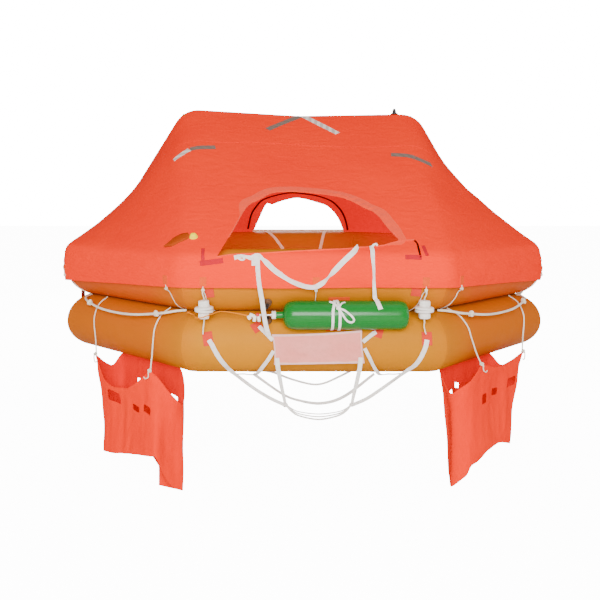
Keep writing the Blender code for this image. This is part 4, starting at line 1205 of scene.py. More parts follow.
def blockPiece(name, size, centre, bevel, turn=(0, 0, 0), inset=0.0):
    # A moulded block: a cube pulled to size, a panel set into its front, edges rounded
    deselectAll()
    bpy.ops.mesh.primitive_cube_add(size=1)
    thing = newest(name)
    thing.scale = size
    bpy.ops.object.transform_apply(location=False, rotation=False, scale=True)
    if inset:
        bpy.ops.object.mode_set(mode="EDIT")
        bpy.ops.mesh.select_all(action="DESELECT")
        bpy.ops.object.mode_set(mode="OBJECT")
        min(thing.data.polygons, key=lambda f: f.center.y).select = True
        bpy.ops.object.mode_set(mode="EDIT")
        bpy.ops.mesh.inset(thickness=inset, depth=-inset * 0.6)
        bpy.ops.object.mode_set(mode="OBJECT")
    softenEdges(thing, bevel, 3)
    thing.location = centre
    thing.rotation_euler = turn
    return thing


def ribsAround(count, reach, height, size, bevel, first=0.0):
    # Equal ribs around a turned piece
    angles = [math.tau * (k + first) / count for k in range(count)]
    return [blockPiece("rib", size, (reach * math.cos(a), reach * math.sin(a), height), bevel, (0, 0, a))
            for a in angles]


def pointing(spot, direction):
    return Matrix.Translation(Vector(spot)) @ Vector(direction).to_track_quat("Z", "Y").to_matrix().to_4x4()


# Gas cylinder in the groove between the tubes, and what is screwed to its neck
bottle = {"radius": 0.054, "gap": 0.0026, "z": raft["seamZ"]}
bottleReach = raft["tubeRadius"] + bottle["radius"] + bottle["gap"]
bottle["y"] = -tubeLine - math.sqrt(bottleReach ** 2 - raft["tubeRadius"] ** 2)
alongX = Matrix.Translation((0.0, bottle["y"], bottle["z"])) @ Matrix.Rotation(math.pi / 2, 4, "Y")
bottleProfile = [(0.0128, -0.144), (0.013, -0.142), (0.013, -0.12), (0.015, -0.1176), (0.025, -0.1155),
                 (0.035, -0.1125), (0.043, -0.106), (0.049, -0.096), (0.0525, -0.084), (0.0538, -0.072),
                 (0.054, -0.06), (0.054, 0.308), (0.0536, 0.32), (0.0515, 0.332), (0.0465, 0.341),
                 (0.038, 0.3465), (0.025, 0.349), (0.004, 0.3498)]
gasBottle = turned("gas_bottle", bottleProfile, 72, alongX)
finishPiece(gasBottle, looks["paint"], smooth=35, stands="gas_cylinder")
collar = turned("neck_collar", [(0.013, -0.16), (0.015, -0.1592), (0.0155, -0.156), (0.0142, -0.1545),
                                (0.0142, -0.152), (0.0155, -0.1505), (0.0155, -0.146), (0.014, -0.1443)], 28, alongX,
                0.0004)
finishPiece(collar, looks["plastic"], smooth=35)
rod = turned("valve_rod", [(0.0048, -0.206), (0.0048, -0.199), (0.0036, -0.1985), (0.0036, -0.187), (0.0062, -0.1865),
                           (0.0062, -0.18), (0.004, -0.1795), (0.004, -0.166), (0.007, -0.165), (0.007, -0.16)],
             24, alongX, 0.0003)
finishPiece(rod, looks["steel"], smooth=35, stands="cylinder_valve")
redCap = turned("valve_cap", [(0.007, -0.219), (0.0085, -0.2182), (0.0088, -0.214), (0.0078, -0.212), (0.0088, -0.21),
                              (0.0085, -0.2064), (0.006, -0.206)], 24, alongX, 0.0003)
finishPiece(redCap, looks["capRed"], smooth=35)
clipFacts = [((0.02, 0.013, 0.011), (-0.233, -1.113, 0.19), 0.35),
             ((0.012, 0.012, 0.022), (-0.224, -1.115, 0.178), 0.15),
             ((0.011, 0.012, 0.02), (-0.208, -1.115, 0.177), -0.2),
             ((0.013, 0.012, 0.015), (-0.244, -1.112, 0.182), -0.5)]
clips = [blockPiece("clip", size, centre, 0.0022, (0, lean, 0), 0.002) for size, centre, lean in clipFacts]
clipGroup = joinAll("lanyard_clips", clips)
finishPiece(clipGroup, looks["plastic"], smooth=35)
print("gas cylinder made")

# Two inlets with knurled caps and their hoses
for name, height, tilt, slope in [("upper", raft["upperZ"], -1, 39), ("lower", raft["lowerZ"], 1, 48)]:
    angle = math.radians(slope)
    normal = Vector((0.0, -math.cos(angle), tilt * math.sin(angle)))
    at = Vector((-0.176, -tubeLine, height)) + normal * (raft["tubeRadius"] + 0.0003)
    inlet = turned("inlet_" + name, [(0.018, 0.0), (0.018, 0.003), (0.015, 0.0036), (0.015, 0.01), (0.0138, 0.0118),
                                     (0.0138, 0.014), (0.0095, 0.0142), (0.009, 0.0118), (0.0045, 0.0116),
                                     (0.0042, 0.0136), (0.0012, 0.0138)], 36, None, 0.0004)
    knurls = ribsAround(18, 0.015, 0.007, (0.0022, 0.0022, 0.0085), 0.0005)
    inlet = joinAll("inlet_" + name, [inlet] + knurls)
    inlet.matrix_world = pointing(at, normal)
    finishPiece(inlet, looks["brass"], smooth=35, stands="inlet_valve_" + name)
    start = at + normal * 0.0147
    last = Vector((-0.192, bottle["y"], bottle["z"] - tilt * 0.0078))
    spots = [start, start + normal * 0.007, start + normal * 0.014, last + upward * (-tilt * 0.012), last]
    hose = cordPiece("hose_" + name, spots, 0.005, 0.003, 16)[0]
    finishPiece(hose, looks["rubber"], smooth=60, stands="inflation_hose_" + name)
print("inlets and hoses made")

# White toggles in front of the seam, turned, with finger flats and a cord through them
toggles = {"x": 0.414, "y": -1.0998, "foot": 0.0195}
for side, x in (("left", -toggles["x"]), ("right", toggles["x"])):
    for level, sign in (("upper", 1), ("lower", -1)):
        body = turned("toggle", [(0.034, 0.0004), (0.0352, 0.002), (0.0356, 0.006), (0.035, 0.0085), (0.03, 0.0105),
                                 (0.0215, 0.012), (0.0205, 0.014), (0.02, 0.023), (0.0206, 0.025), (0.0206, 0.031),
                                 (0.019, 0.0338), (0.011, 0.0345), (0.01, 0.0325), (0.003, 0.0322)], 40, None, 0.0006)
        ribs = ribsAround(6, 0.0195, 0.023, (0.005, 0.004, 0.016), 0.0012, 0.5)
        body = joinAll(f"toggle_body_{side}_{level}", [body] + ribs)
        lean = (-0.05 if side == "left" else 0.03) * sign
        body.matrix_world = (Matrix.Translation((x, toggles["y"], raft["seamZ"]
                                                 + toggles["foot"])) @ Matrix.Rotation(lean, 4, "Y")
                             @ Matrix.Rotation(0.0 if sign > 0 else math.pi, 4, "X"))
        finishPiece(body, looks["plastic"], smooth=35, stands=f"toggle_{side}_{level}")
print("toggles made")

# Patches on the tubes: name, across, tube, degrees up from its outermost line, size, lean
patches = [
    ("ladder_patch_left", -0.215, "lowerZ", 36, 0.04, 0.04, 0.55, "patch"),
    ("ladder_patch_right", 0.24, "lowerZ", 25, 0.04, 0.036, -0.35, "patch"),
    ("strap_patch_left", -0.4, "lowerZ", 14, 0.038, 0.052, 0.17, "patch"),
    ("strap_patch_right", 0.425, "lowerZ", 14, 0.038, 0.05, 0.0, "patch"),
    ("tie_patch_left", -0.394, "upperZ", -20, 0.034, 0.036, 0.1, "patch"),
    ("tie_patch_right", 0.385, "upperZ", -18, 0.038, 0.032, -0.1, "patch"),
    ("bottle_patch_upper", 0.096, "upperZ", -33, 0.08, 0.02, 0.03, "patchOrange"),
    ("bottle_patch_lower", 0.083, "lowerZ", 33, 0.076, 0.02, 0.03, "patchOrange"),
]
for name, x, tube, degrees, wide, tall, lean, finish in patches:
    patch = frontPatch(name + "_cloth", x, raft[tube], degrees, wide, tall, lean)
    finishPiece(patch, looks[finish], smooth=60,
                stands=[name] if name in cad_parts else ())
anchorX = -(tubeLine + math.sqrt(raft["tubeRadius"] ** 2 - (raft["tubeRadius"] - 0.03) ** 2) + 0.0023)
anchor = blockPiece("painter_anchor_webbing", (0.004, 0.06, 0.06), (anchorX, -0.36, raft["seamZ"]), 0.0012)
finishPiece(anchor, looks["patch"], smooth=40, stands="painter_anchor")
print("patches glued on")

# Straps that hold the cylinder, with a bow in front
tie = {"width": 0.01, "first": 0.064, "second": 0.09, "lift": 0.0016}


def onBottle(x, degrees, lift=0.0016):
    angle = math.radians(degrees)
    reach = bottle["radius"] + lift
    return Vector((x, bottle["y"] - reach * math.cos(angle), bottle["z"] + reach * math.sin(angle)))


bands = []
for k, x in enumerate((tie["first"], tie["second"])):
    spots = [onBottle(x + 0.01 * (1 if k == 0 else -0.6) * ramp(d, 10, 80), d, tie["lift"] * (1 + 0.5 * k))
             for d in range(-95, 100, 13)]
    band = strapPiece("tie_band", spots, tie["width"], lambda t: (0, -math.cos(math.radians(-95 + 190 * t)),
                      math.sin(math.radians(-95 + 190 * t))), 0.0014, 0.006)
    bands.append(band)
bowSpots = [onBottle(0.084, 34, 0.006), onBottle(0.104, 24, 0.012), onBottle(0.128, 8, 0.012),
            onBottle(0.14, -7, 0.009), onBottle(0.134, -16, 0.007), onBottle(0.118, -13, 0.008),
            onBottle(0.104, 2, 0.01), onBottle(0.092, 20, 0.01), onBottle(0.08, 36, 0.007)]
bow = strapPiece("tie_bow", bowSpots, 0.0075, (0, -1, 0.2), 0.0013, 0.004, waver=0.001)
tailSpots = [onBottle(0.086, 32, 0.007), onBottle(0.074, 46, 0.009), onBottle(0.062, 60, 0.006),
             onBottle(0.054, 66, 0.004)]
tailEnd = strapPiece("tie_tail", tailSpots, 0.0085, (0, -0.7, 0.7), 0.0013, 0.004)
tailSpots = [onBottle(0.086, 34, 0.007), onBottle(0.098, 52, 0.008), onBottle(0.112, 62, 0.005)]
tailTwo = strapPiece("tie_tail_two", tailSpots, 0.006, (0, -0.6, 0.8), 0.0013, 0.004)
knot = knotPiece("tie_knot", onBottle(0.084, 34, 0.0065), 0.0075, 0.003, 0.4)
bottleTie = joinAll("bottle_tie_webbing", bands + [bow, tailEnd, tailTwo, knot])
finishPiece(bottleTie, looks["webbing"], smooth=60, stands="cylinder_tie")
print("cylinder tied down")

# Webbing at the entrance
webbing = {"thickness": 0.0015, "sillWidth": 0.02, "sideWidth": 0.017}


def finishStrap(thing, stands=(), body="raft"):
    return finishPiece(thing, looks["webbing"], body=body, smooth=60, stands=stands)


sillRoute = [(-0.3, -1.115, 0.405), (-0.274, -1.118, 0.412), (-0.25, -1.12, 0.408), (-0.235, -1.1205, 0.405),
             (-0.214, -1.121, 0.413), (-0.195, -1.124, 0.402), (-0.15, -1.129, 0.36), (-0.115, -1.129, 0.336),
             (-0.06, -1.129, 0.307), (-0.01, -1.129, 0.296), (0.02, -1.129, 0.306), (0.045, -1.129, 0.327),
             (0.085, -1.1275, 0.37), (0.122, -1.119, 0.405), (0.148, -1.108, 0.427), (0.166, -1.092, 0.447)]


def sillTurn(t):
    return 30 * near(t, 0.08, 0.05) - 20 * near(t, 0.55, 0.12) + 65 * near(t, 0.7, 0.05) + 50 * ramp(t, 0.93, 1)


def sillTaper(t):
    return 1.0 - 0.45 * near(t, 0.06, 0.05) - 0.35 * near(t, 0.2, 0.02) - 0.3 * near(t, 0.7, 0.04)


sillStrap = strapPiece("sill_strap", sillRoute, webbing["sillWidth"], (0, -1, 0.35), webbing["thickness"], 0.006,
                       turn=sillTurn, taper=sillTaper, waver=0.0008)
tabs = strapPiece("sill_end", [(-0.292, -1.119, 0.406), (-0.274, -1.1235, 0.415), (-0.262, -1.123, 0.401),
                  (-0.275, -1.1215, 0.3985), (-0.29, -1.119, 0.408)], 0.0075, (0, -1, 0.3), 0.0014, 0.004)
sillCloth = joinAll("sill_strap_webbing", [sillStrap, tabs])
finishStrap(sillCloth, "entrance_strap_sill")

leftRoute = [(-0.212, -1.113, 0.418), (-0.2125, -1.1225, 0.4), (-0.212, -1.1262, 0.364), (-0.207, -1.1262, 0.31),
             (-0.196, -1.1262, 0.245), (-0.186, -1.124, 0.175), (-0.177, -1.117, 0.133), (-0.17, -1.109, 0.112)]
leftStrap = strapPiece("left_strap", leftRoute, webbing["sideWidth"], (0, -1, 0), webbing["thickness"], 0.007,
                       turn=lambda t: 14 * math.sin(t * 6))
leftTab = strapPiece("left_tab", [(-0.226, -1.113, 0.416), (-0.227, -1.1195, 0.396), (-0.2265, -1.1225, 0.376)],
                     0.016, (0, -1, 0.2), 0.0015, 0.004)
finishStrap(joinAll("left_strap_webbing", [leftStrap, leftTab]), "entrance_strap_left")

rightRoute = [(0.2185, -1.079, 0.446), (0.218, -1.106, 0.43), (0.218, -1.118, 0.4), (0.22, -1.1258, 0.36),
              (0.2205, -1.1258, 0.315), (0.223, -1.1225, 0.28), (0.226, -1.115, 0.254), (0.23, -1.129, 0.2478),
              (0.235, -1.15, 0.233), (0.2396, -1.1605, 0.219)]
rightStrap = strapPiece("right_strap", rightRoute, webbing["sideWidth"],
                        lambda t: (0, -1, 0.2 + 0.8 * near(t, 0.86, 0.1)), webbing["thickness"], 0.006,
                        turn=lambda t: 52 * near(t, 0.45, 0.18),
                        taper=lambda t: 0.72 + 0.28 * ramp(t, 0.55, 0.9) + 0.25 * (1 - ramp(t, 0.1, 0.3)))
rightLoop = strapPiece("right_loop", [(0.243, -1.072, 0.449), (0.236, -1.076, 0.4545), (0.227, -1.078, 0.4505),
                       (0.2185, -1.083, 0.444)], 0.008, (0, -1, 0.4), 0.0015, 0.003)
finishStrap(joinAll("right_strap_webbing", [rightStrap, rightLoop]), "entrance_strap_right")

# Straps on the lower tube that carry the boarding ladder
for name, spots, tail, hand in [
        ("outer_strap_left", [(-0.396, 12), (-0.384, 3), (-0.372, -8), (-0.356, -22), (-0.336, -38), (-0.318, -55)],
         [(-0.278, -1.058, -0.06), (-0.223, -1.082, -0.094), (-0.165, -1.101, -0.124), (-0.112, -1.111, -0.146)], -1),
        ("outer_strap_right", [(0.424, 12), (0.42, 3), (0.412, -8), (0.4, -22), (0.384, -38), (0.362, -55)],
         [(0.318, -1.055, -0.06), (0.258, -1.078, -0.094), (0.198, -1.098, -0.126), (0.143, -1.111, -0.146)], 1)]:
    line = [frontSpot(x, raft["lowerZ"], d, 0.003) for x, d in spots] + [Vector(p) for p in tail]
    strap = strapPiece(name, line, 0.018, lambda t: (0, -1, -0.25 - 0.5 * near(t, 0.45, 0.15)), 0.0015, 0.008,
                       turn=lambda t, hand=hand: 30 * ramp(t, 0.55, 0.8) * hand,
                       taper=lambda t: 1.0 - 0.28 * ramp(t, 0.5, 0.7))
    finishStrap(strap, body=None)
    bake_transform(strap)
for name, spots in [
        ("step_brace_left", [(-0.153, -1.1118, 0.056), (-0.172, -1.11, 0.025), (-0.193, -1.09, -0.008),
                             (-0.215, -1.056, -0.042), (-0.238, -1.025, -0.054), (-0.265, -1.005, -0.056),
                             (-0.292, -1.018, -0.053), (-0.315, -1.04, -0.044)]),
        ("step_brace_right", [(0.188, -1.1118, 0.066), (0.205, -1.109, 0.033), (0.226, -1.088, -0.008),
                              (0.25, -1.054, -0.043), (0.27, -1.023, -0.0545), (0.295, -1.006, -0.056),
                              (0.32, -1.018, -0.0535), (0.345, -1.042, -0.044)])]:
    strap = strapPiece(name, spots, 0.014, lambda t: (0, -1, -0.4 - 0.8 * ramp(t, 0.3, 0.6)), 0.0015, 0.007,
                       turn=lambda t: 24 * near(t, 0.25, 0.15), taper=lambda t: 1.0 - 0.3 * ramp(t, 0.55, 0.8))
    finishStrap(strap, body=None)
    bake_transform(strap)
hullMain = strapPiece("hull_main", [(-0.23, -0.985, -0.06), (-0.118, -0.985, -0.138), (-0.05, -0.985, -0.165),
                      (0.038, -0.985, -0.176), (0.128, -0.985, -0.148), (0.245, -0.985, -0.06)], 0.014,
                      lambda t: (0, -1, -0.55), 0.0016, 0.008, turn=lambda t: 12 * math.sin(t * 7))
hullTabs = [frontPatch("hull_tab", x, raft["lowerZ"], -88, 0.034, 0.04) for x in (-0.23, 0.245)]
hullStrap = joinAll("hull_strap_webbing", [hullMain] + hullTabs)
finishStrap(hullStrap, "hull_strap")
second = strapPiece("hull_second_webbing", [(-0.19, -0.965, -0.052), (-0.15, -0.955, -0.062), (-0.08, -0.94, -0.092),
                    (0.0, -0.93, -0.115), (0.05, -0.93, -0.112), (0.11, -0.945, -0.082), (0.16, -0.96, -0.052)],
                    0.0105, (0, -1, -0.5), 0.0014, 0.008)
finishStrap(second)
print("straps sewn on")

# Boarding step: a cloth panel with bound edges, hung from its top corners
step = {"y": -1.107, "corners": [(-0.15, 0.004), (0.188, 0.01), (0.178, 0.132), (-0.158, 0.116)], "binding": 0.004}


def stepSpot(u, v, lift=0.0):
    (ax, az), (bx, bz), (cx, cz), (dx, dz) = step["corners"]
    x = (1 - v) * ((1 - u) * ax + u * bx) + v * ((1 - u) * dx + u * cx)
    z = (1 - v) * ((1 - u) * az + u * bz) + v * ((1 - u) * dz + u * cz)
    x += 0.004 * math.sin(math.pi * v) * (1 if u < 0.5 else -1) * abs(2 * u - 1) ** 3
    z -= 0.0045 * math.sin(math.pi * u) * v
    fold = noise(Vector((u * 5.0 + v * 3.2, v * 2.2 - u * 2.0, 4.4)))
    fold += 0.5 * noise(Vector((u * 9 - v * 6, v * 4 + u * 5, 9.1)))
    corner = near(u, 1.0, 0.28) * near(v, 0.35, 0.45) * math.sin((u * 1.2 + v) * 26)
    edge = min(u, 1 - u, v, 1 - v)
    y = step["y"] - 0.0045 * fold * ramp(edge, 0.0, 0.2) - 0.0016 * corner
    y -= 0.003 * math.sin(math.pi * u) * math.sin(math.pi * v)
    return Vector((x, y - lift, z))


stepRows = [[stepSpot(u / 64, v / 26) for u in range(65)] for v in range(27)]
stepPanel = clothFromRows("boarding_step_cloth", stepRows)
thicken(stepPanel, 0.0022, 0.0)
finishPiece(stepPanel, looks["step"], body="ladder", smooth=60, stands="boarding_step")
edges = []
for name, spots in [("top", [stepSpot(u / 24, 1) for u in range(25)]),
                    ("bottom", [stepSpot(u / 24, 0) for u in range(25)]),
                    ("left", [stepSpot(0, v / 12) for v in range(13)]),
                    ("right", [stepSpot(1, v / 12) for v in range(13)])]:
    wide = 0.0085 if name in ("top", "bottom") else 0.006
    inward = {"top": (0, 0, -1), "bottom": (0, 0, 1), "left": (1, 0, 0), "right": (-1, 0, 0)}[name]
    spots = [p + Vector(inward) * wide * 0.36 for p in spots]
    binding = strapPiece("binding_" + name, spots, wide, (0, -1, 0), step["binding"], 0.008, waver=0.0004)
    edges.append(binding)
stepEdges = joinAll("boarding_step_binding", edges)
finishPiece(stepEdges, looks["stepHem"], body="ladder", smooth=60)

# Rung: two straps from the step's lower corners, joined by a folded loop
rungParts = []
for spots, seed in [([(-0.14, -1.1128, 0.03), (-0.136, -1.1126, -0.01), (-0.127, -1.11, -0.06),
                      (-0.116, -1.1095, -0.11), (-0.1075, -1.109, -0.15)], 0.3),
                    ([(0.173, -1.1128, 0.032), (0.169, -1.1126, -0.008), (0.159, -1.11, -0.06),
                      (0.147, -1.1095, -0.11), (0.14, -1.109, -0.148)], 2.0)]:
    side = strapPiece("rung_side", spots, 0.016, (0, -1, 0), 0.0015, 0.007, turn=lambda t: 25 * near(t, 0.6, 0.25),
                      taper=lambda t: 1.0 - 0.3 * ramp(t, 0.5, 1.0), waver=0.0008, seed=seed)
    rungParts.append(side)
for drop, radius in [(0.0, 0.0034), (0.0085, 0.0026), (0.017, 0.0022)]:
    spots = [(-0.109, -1.109, -0.144 + drop * 0.2), (-0.086, -1.109, -0.17 + drop * 0.7),
             (-0.055, -1.109, -0.188 + drop), (0.016, -1.109, -0.201 + drop * 1.3), (0.085, -1.109, -0.188 + drop),
             (0.118, -1.109, -0.17 + drop * 0.7), (0.141, -1.109, -0.142 + drop * 0.2)]
    loop = cordPiece("rung_loop", [(x, y - drop * 0.35, z) for x, y, z in spots], radius, 0.007, 8)[0]
    rungParts.append(loop)
rungParts.append(knotPiece("rung_knot_left", (-0.1085, -1.11, -0.146), 0.0085, 0.0032, 0.3))
rungParts.append(knotPiece("rung_knot_right", (0.1405, -1.11, -0.144), 0.0085, 0.0032, 1.1))
finishStrap(joinAll("ladder_rung_webbing", rungParts), "ladder_rung", body="ladder")

# Hangers from the ladder patches to the step's sides
for name, spots in [("step_hanger_left", [(-0.208, -1.0815, 0.143), (-0.196, -1.09, 0.133), (-0.177, -1.102, 0.116),
                                          (-0.156, -1.1125, 0.096)]),
                    ("step_hanger_right", [(0.234, -1.0935, 0.123), (0.22, -1.099, 0.117), (0.202, -1.1065, 0.105),
                                           (0.181, -1.113, 0.09)])]:
    strap = strapPiece(name + "_webbing", spots, 0.015, (0, -0.85, 0.5), 0.0015, 0.005)
    finishStrap(strap, name, body=None)
    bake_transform(strap)
print("boarding step and rung hung")

# Cords: grab lines in the seam, pocket cords, ties of the canopy, the orange cord of the toggles
cords = {"grab": 0.005, "pocket": 0.003, "tie": 0.002, "orange": 0.0021, "tail": 0.0024}
grabShape = [(0.0, 0.0355, 0.0), (0.05, 0.07, -0.002), (0.13, 0.105, -0.012), (0.32, 0.128, -0.03),
             (0.5, 0.131, -0.036), (0.68, 0.128, -0.03), (0.87, 0.105, -0.012), (0.95, 0.07, -0.002),
             (1.0, 0.0355, 0.0)]
grabLines = {"front_left": (6, 0.05, 0.95), "front_right": (0, 0.05, 0.95), "right": (1, 0.08, 0.92),
             "rear_right": (2, 0.05, 0.95), "rear": (3, 0.08, 0.92), "rear_left": (4, 0.05, 0.95),
             "left": (5, 0.08, 0.8)}


def finishCord(thing, stands=()):
    return finishPiece(thing, looks["cord"], smooth=60, stands=stands)


for name, (corner, first, last) in grabLines.items():
    spots = []
    for t, out, drop in grabShape:
        spot = besideTube(corner + first + (last - first) * t, out)
        spots.append((spot.x, spot.y, raft["seamZ"] + drop))
    line, route = cordPiece("grab_line_" + name + "_rope", spots, cords["grab"], 0.008, 10)
    finishCord(line, "grab_line_" + name)
    knots = []
    for t in (0.2, 0.83):
        at = route[round(t * (len(route) - 1))]
        knots.append(knotPiece("grab_knot", at, 0.011, 0.0042, t * 3))
    knots = joinAll("grab_knots_" + name, knots)
    finishCord(knots)

# The cord's free end: outward, up, along, and along toward the bag's middle
tailShape = [(-0.002, 0.006, 0.0, 0.0), (0.01, -0.004, 0.0, 0.0), (0.013, -0.024, -0.004, 0.0),
             (0.014, -0.034, 0.0, -0.014), (0.013, -0.03, 0.0, -0.026)]
for name, facts in pockets.items():
    middle, side, outward = pocketPlace(facts["side"])
    for end, sign in (("near", -1.0), ("far", 1.0)):
        startAt, endAt, endZ = facts["cords"][end]
        spots = []
        for t, out, height in ((0.0, 0.031, raft["seamZ"]), (0.12, 0.0802, raft["lowerZ"] + 0.0956),
                               (0.28, 0.1132, raft["lowerZ"] + 0.0528), (0.42, 0.1245, raft["lowerZ"] + 0.01),
                               (0.74, 0.136, raft["lowerZ"] - 0.05), (1.0, 0.148, endZ)):
            spots.append(middle + side * (startAt + (endAt - startAt) * t) + outward * out + upward * height)
        line, route = cordPiece(f"pocket_cord_{name}_{end}_line", spots, cords["pocket"], 0.006, 8)
        finishCord(line, f"pocket_cord_{name}_{end}")
        foot = Vector(route[-1])
        tailSpots = [foot + outward * off + upward * rise + side * (a + b * sign) for off, rise, a, b in tailShape]
        tail = cordPiece("tail", tailSpots, cords["tail"], 0.004, 8)[0]
        knot = knotPiece("pocket_knot", foot + outward * 0.004 - upward * 0.002, 0.008, 0.0026, sign)
        ends = joinAll(f"pocket_knot_{name}_{end}", [tail, knot])
        finishCord(ends)
print("grab lines and pocket cords strung")

# Ties that lace the canopy's skirt into the seam, each with its tab
ties = [6.03, 6.91, 7.09, 7.505, 7.91, 0.09, 0.97, 1.5, 2.03, 2.91, 3.09, 3.5, 3.91, 4.09, 4.97, 5.5]
tieFall = [(0.126, 1.0, raft["upperZ"] - 0.042), (0.1085, 1.4, raft["upperZ"] - 0.066),
           (0.075, 1.0, raft["upperZ"] - 0.0975), (0.027, 1.0, raft["seamZ"])]
for k, place in enumerate(ties):
    skirtEdge = skirtSpot(place % 8 + (8 if place < 1 else 0), canopy["skirt"][-1][0])
    out = Vector((besideTube(place, 0.1) - besideTube(place, 0.0)).xy.to_3d()).normalized()
    skirtEdge.z = raft["upperZ"] - 0.016
    edge = toCloth(skirtEdge)[0]
    lean = 0.01 * noise(Vector((k * 3.3, 0, 0)))
    aside = Vector((-out.y, out.x, 0)) * lean
    base = besideTube(place, 0.0)
    spots = [edge + upward * 0.004 + out * 0.003, edge - upward * 0.01 + out * 0.001 + aside * 0.4]
    spots += [base + out * reach + aside * slack + upward * height for reach, slack, height in tieFall]
    line, route = cordPiece(f"canopy_tie_{k}", spots, cords["tie"], 0.005, 7)
    finishCord(line)
    knot = knotPiece(f"canopy_tie_knot_{k}", spots[1], 0.0062, 0.0022, k)
    finishCord(knot)
    tabSpots = [toCloth(edge + upward * 0.04)[0], toCloth(edge + upward * 0.022)[0],
                toCloth(edge + upward * 0.006)[0]]
    tab = layStrip(f"canopy_tab_{k}", tabSpots, 0.026, 0.0006, 0.0014)
    finishPiece(tab, looks["patchOrange"], smooth=50)
print("canopy laced down")

# Thin orange cord from the left corner round the toggle to the clips, and the toggles' own white cords
orangeSpots = [besideTube(6.995, 0.029) + upward * raft["seamZ"]] + [Vector(p) for p in [
    (-0.48, -1.07, 0.196), (-0.455, -1.09, 0.188), (-0.44, -1.138, 0.184), (-0.414, -1.14, 0.187),
    (-0.388, -1.136, 0.196), (-0.35, -1.1, 0.203), (-0.3, -1.095, 0.196), (-0.25, -1.108, 0.188)]]
line, route = cordPiece("toggle_cord_orange", orangeSpots, cords["orange"], 0.005, 8, waver=0.0012)
finishPiece(line, looks["cordOrange"], smooth=60)
for hand, x in ((-1, -toggles["x"]), (1, toggles["x"])):
    for label, spots in (("upper", [(x, -1.12, 0.29), (x + 0.004 * hand, -1.1185, 0.272), (x, -1.105, 0.252),
                                    (x, -1.0998, 0.2435)]),
                         ("lower", [(x, -1.0998, 0.175), (x, -1.102, 0.162), (x - 0.002, -1.106, 0.144),
                                    (x + 0.004 * hand, -1.108, 0.118)])):
        piece = cordPiece(f"toggle_cord_{label}_{'left' if hand < 0 else 'right'}", spots, 0.0028, 0.005, 8)[0]
        finishCord(piece)
print("toggle cords strung")

# Lamp on the slope: a lens in a tapered cloth pouch, dark partly from its own colour and partly from painted shade;
# and the small light on the ridge
lampSpots = [(-0.5753, -0.9977, 0.4385), (-0.547, -1.0045, 0.4526), (-0.5158, -1.0047, 0.4701),
             (-0.4816, -0.9966, 0.4834)]
slopeOut = Vector((0.0, -0.52, 0.854)).normalized()
pouchRoute = [toCloth(p, 0.004)[0] for p in lampSpots]
pouch = strapPiece("lamp_pouch", pouchRoute, 0.046, tuple(slopeOut), 0.012, 0.006, cup=0.002,
                   taper=lambda t: 0.12 + 0.88 * ramp(t, 0.0, 0.38) - 0.3 * ramp(t, 0.8, 1.0))
finishPiece(pouch, looks["pouch"], smooth=70)
lampAt = toCloth((-0.463, -1.006, 0.4762), -0.0004)[0]
lens = turned("canopy_lamp_lens", [(0.0175, 0.0), (0.0175, 0.0024), (0.0152, 0.0034), (0.0146, 0.0056),
                                   (0.0138, 0.0086), (0.0122, 0.0122), (0.0092, 0.015), (0.0054, 0.0166),
                                   (0.0012, 0.0172)], 40, None, 0.0004)
lens.matrix_world = pointing(lampAt, slopeOut)
finishPiece(lens, looks["lamp"], smooth=35, stands="canopy_lamp")
crest, crestOut = archFrame(bendRight[0] - 0.03)
ridge = turned("ridge_light", [(0.02, 0.0), (0.02, 0.0035), (0.017, 0.005), (0.0125, 0.008), (0.0105, 0.012),
                               (0.0095, 0.02), (0.008, 0.027), (0.005, 0.031), (0.001, 0.032)], 32, None, 0.0004)
ridge.matrix_world = pointing(crest + crestOut * 0.0748, crestOut)
finishPiece(ridge, looks["dark"], smooth=35, stands="ridge_lamp")
print("lamps fitted")

# Straps over the rear tube, seen through the openings
for name, x0, x1 in [("rear_strap_left", -0.173, -0.054), ("rear_strap_right", 0.236, 0.192)]:
    spots = []
    for k in range(8):
        t = k / 7
        a = math.radians(88 - 84 * t)
        reach = raft["tubeRadius"] + 0.0022
        spots.append((x0 + (x1 - x0) * t, tubeLine - reach * math.cos(a), raft["upperZ"] + reach * math.sin(a)))
    strap = strapPiece(name, spots, 0.02, lambda t: (0, -math.sin(1.55 * t), math.cos(1.55 * t)), 0.0015, 0.008)
    finishStrap(strap)
rearSill = strapPiece("rear_sill_webbing", [(-0.262, 1.083, 0.434), (-0.15, 1.088, 0.4335), (0.0, 1.09, 0.433),
                      (0.2, 1.0885, 0.4335), (0.378, 1.083, 0.434)], 0.016, (0, -1, 0.3), 0.0015, 0.01, waver=0.002)
finishStrap(rearSill)

# Camera and studio; the picture is measured in its own pixels, the sensor in millimetres
picture = {"size": 600, "focal": 681, "eyeX": 261, "eyeY": 208, "sensor": 36}
camera = bpy.data.objects.new("camera", bpy.data.cameras.new("camera"))
bpy.context.scene.collection.objects.link(camera)
camera.location = (-0.2, -3.66, 0.591)
camera.rotation_euler = (math.pi / 2, 0, 0)
camera.data.lens = picture["focal"] / picture["size"] * picture["sensor"]
camera.data.shift_x = (picture["size"] / 2 - picture["eyeX"]) / picture["size"]
camera.data.shift_y = -(picture["size"] / 2 - picture["eyeY"]) / picture["size"]
bpy.context.scene.camera = camera

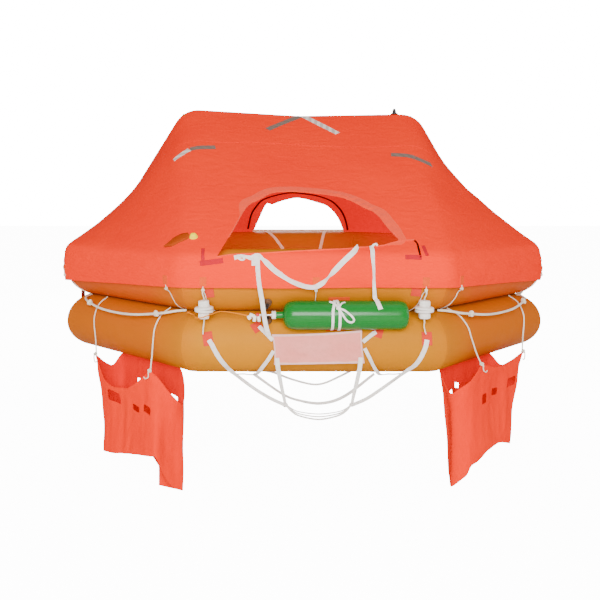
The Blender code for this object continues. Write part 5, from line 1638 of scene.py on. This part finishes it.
studio = {"floorZ": -0.547, "front": 430, "fill": 0.34, "sides": 32.0, "back": 210.0, "backdrop": 17.0,
          "floorGlow": 13.0, "top": 26, "inside": 7.0}
bpy.ops.mesh.primitive_plane_add(size=60, location=(0, 10, studio["floorZ"]))
floor = newest("studio_floor")
made, tree, shader = newMaterial("studioFloor", 0.9)
cloud = put(tree, "TexNoise", {"Vector": put(tree, "TexCoord").outputs["Object"], "Scale": 0.6})
tree.links.new(blendColors(tree, cloud.outputs["Fac"], (0.84, 0.84, 0.84, 1), (0.88, 0.88, 0.88, 1)),
               shader.inputs["Base Color"])
shader.inputs["Emission Color"].default_value = (1, 1, 1, 1)
seen = put(tree, "LightPath").outputs["Is Camera Ray"]
tree.links.new(sums(tree, seen, studio["floorGlow"], "MULTIPLY"), shader.inputs["Emission Strength"])
floor.data.materials.append(made)


def softBox(name, place, target, size, power, color=(1, 1, 1)):
    lamp = bpy.data.objects.new(name, bpy.data.lights.new(name, "AREA"))
    bpy.context.scene.collection.objects.link(lamp)
    lamp.data.shape = "RECTANGLE"
    lamp.data.size, lamp.data.size_y = size
    lamp.data.energy = power
    lamp.data.color = color
    lamp.location = place
    lamp.rotation_euler = (Vector(target) - Vector(place)).to_track_quat("-Z", "Y").to_euler()


softBox("front_soft", (-0.35, -5.6, 1.7), (0, -0.6, 0.3), (3.0, 2.0), studio["front"])
softBox("top_soft", (0.3, -1.2, 4.6), (0, 0, 0.4), (3.0, 3.0), studio["top"])
softBox("left_soft", (-5.2, -0.8, 1.5), (0, 0, 0.3), (2.5, 2.5), studio["sides"])
softBox("right_soft", (5.2, -1.2, 1.5), (0, 0, 0.3), (2.5, 2.5), studio["sides"] * 1.6)
softBox("back_soft", (-0.6, 5.4, 2.2), (0, 0.5, 0.2), (3.0, 2.0), studio["back"])
softBox("inside_soft", (0.0, 0.0, 0.86), (0, 0.45, 0.0), (0.9, 0.24), studio["inside"], (1.0, 0.5, 0.16))
world = bpy.data.worlds.new("studio")
bpy.context.scene.world = world
world.use_nodes = True
sky = world.node_tree
sky.nodes["Background"].inputs[0].default_value = (1, 1, 1, 1)
toCamera = put(sky, "LightPath").outputs["Is Camera Ray"]
sky.links.new(spread(sky, toCamera, 0.0, 1.0, studio["fill"], studio["backdrop"]), sky.nodes["Background"].inputs[1])
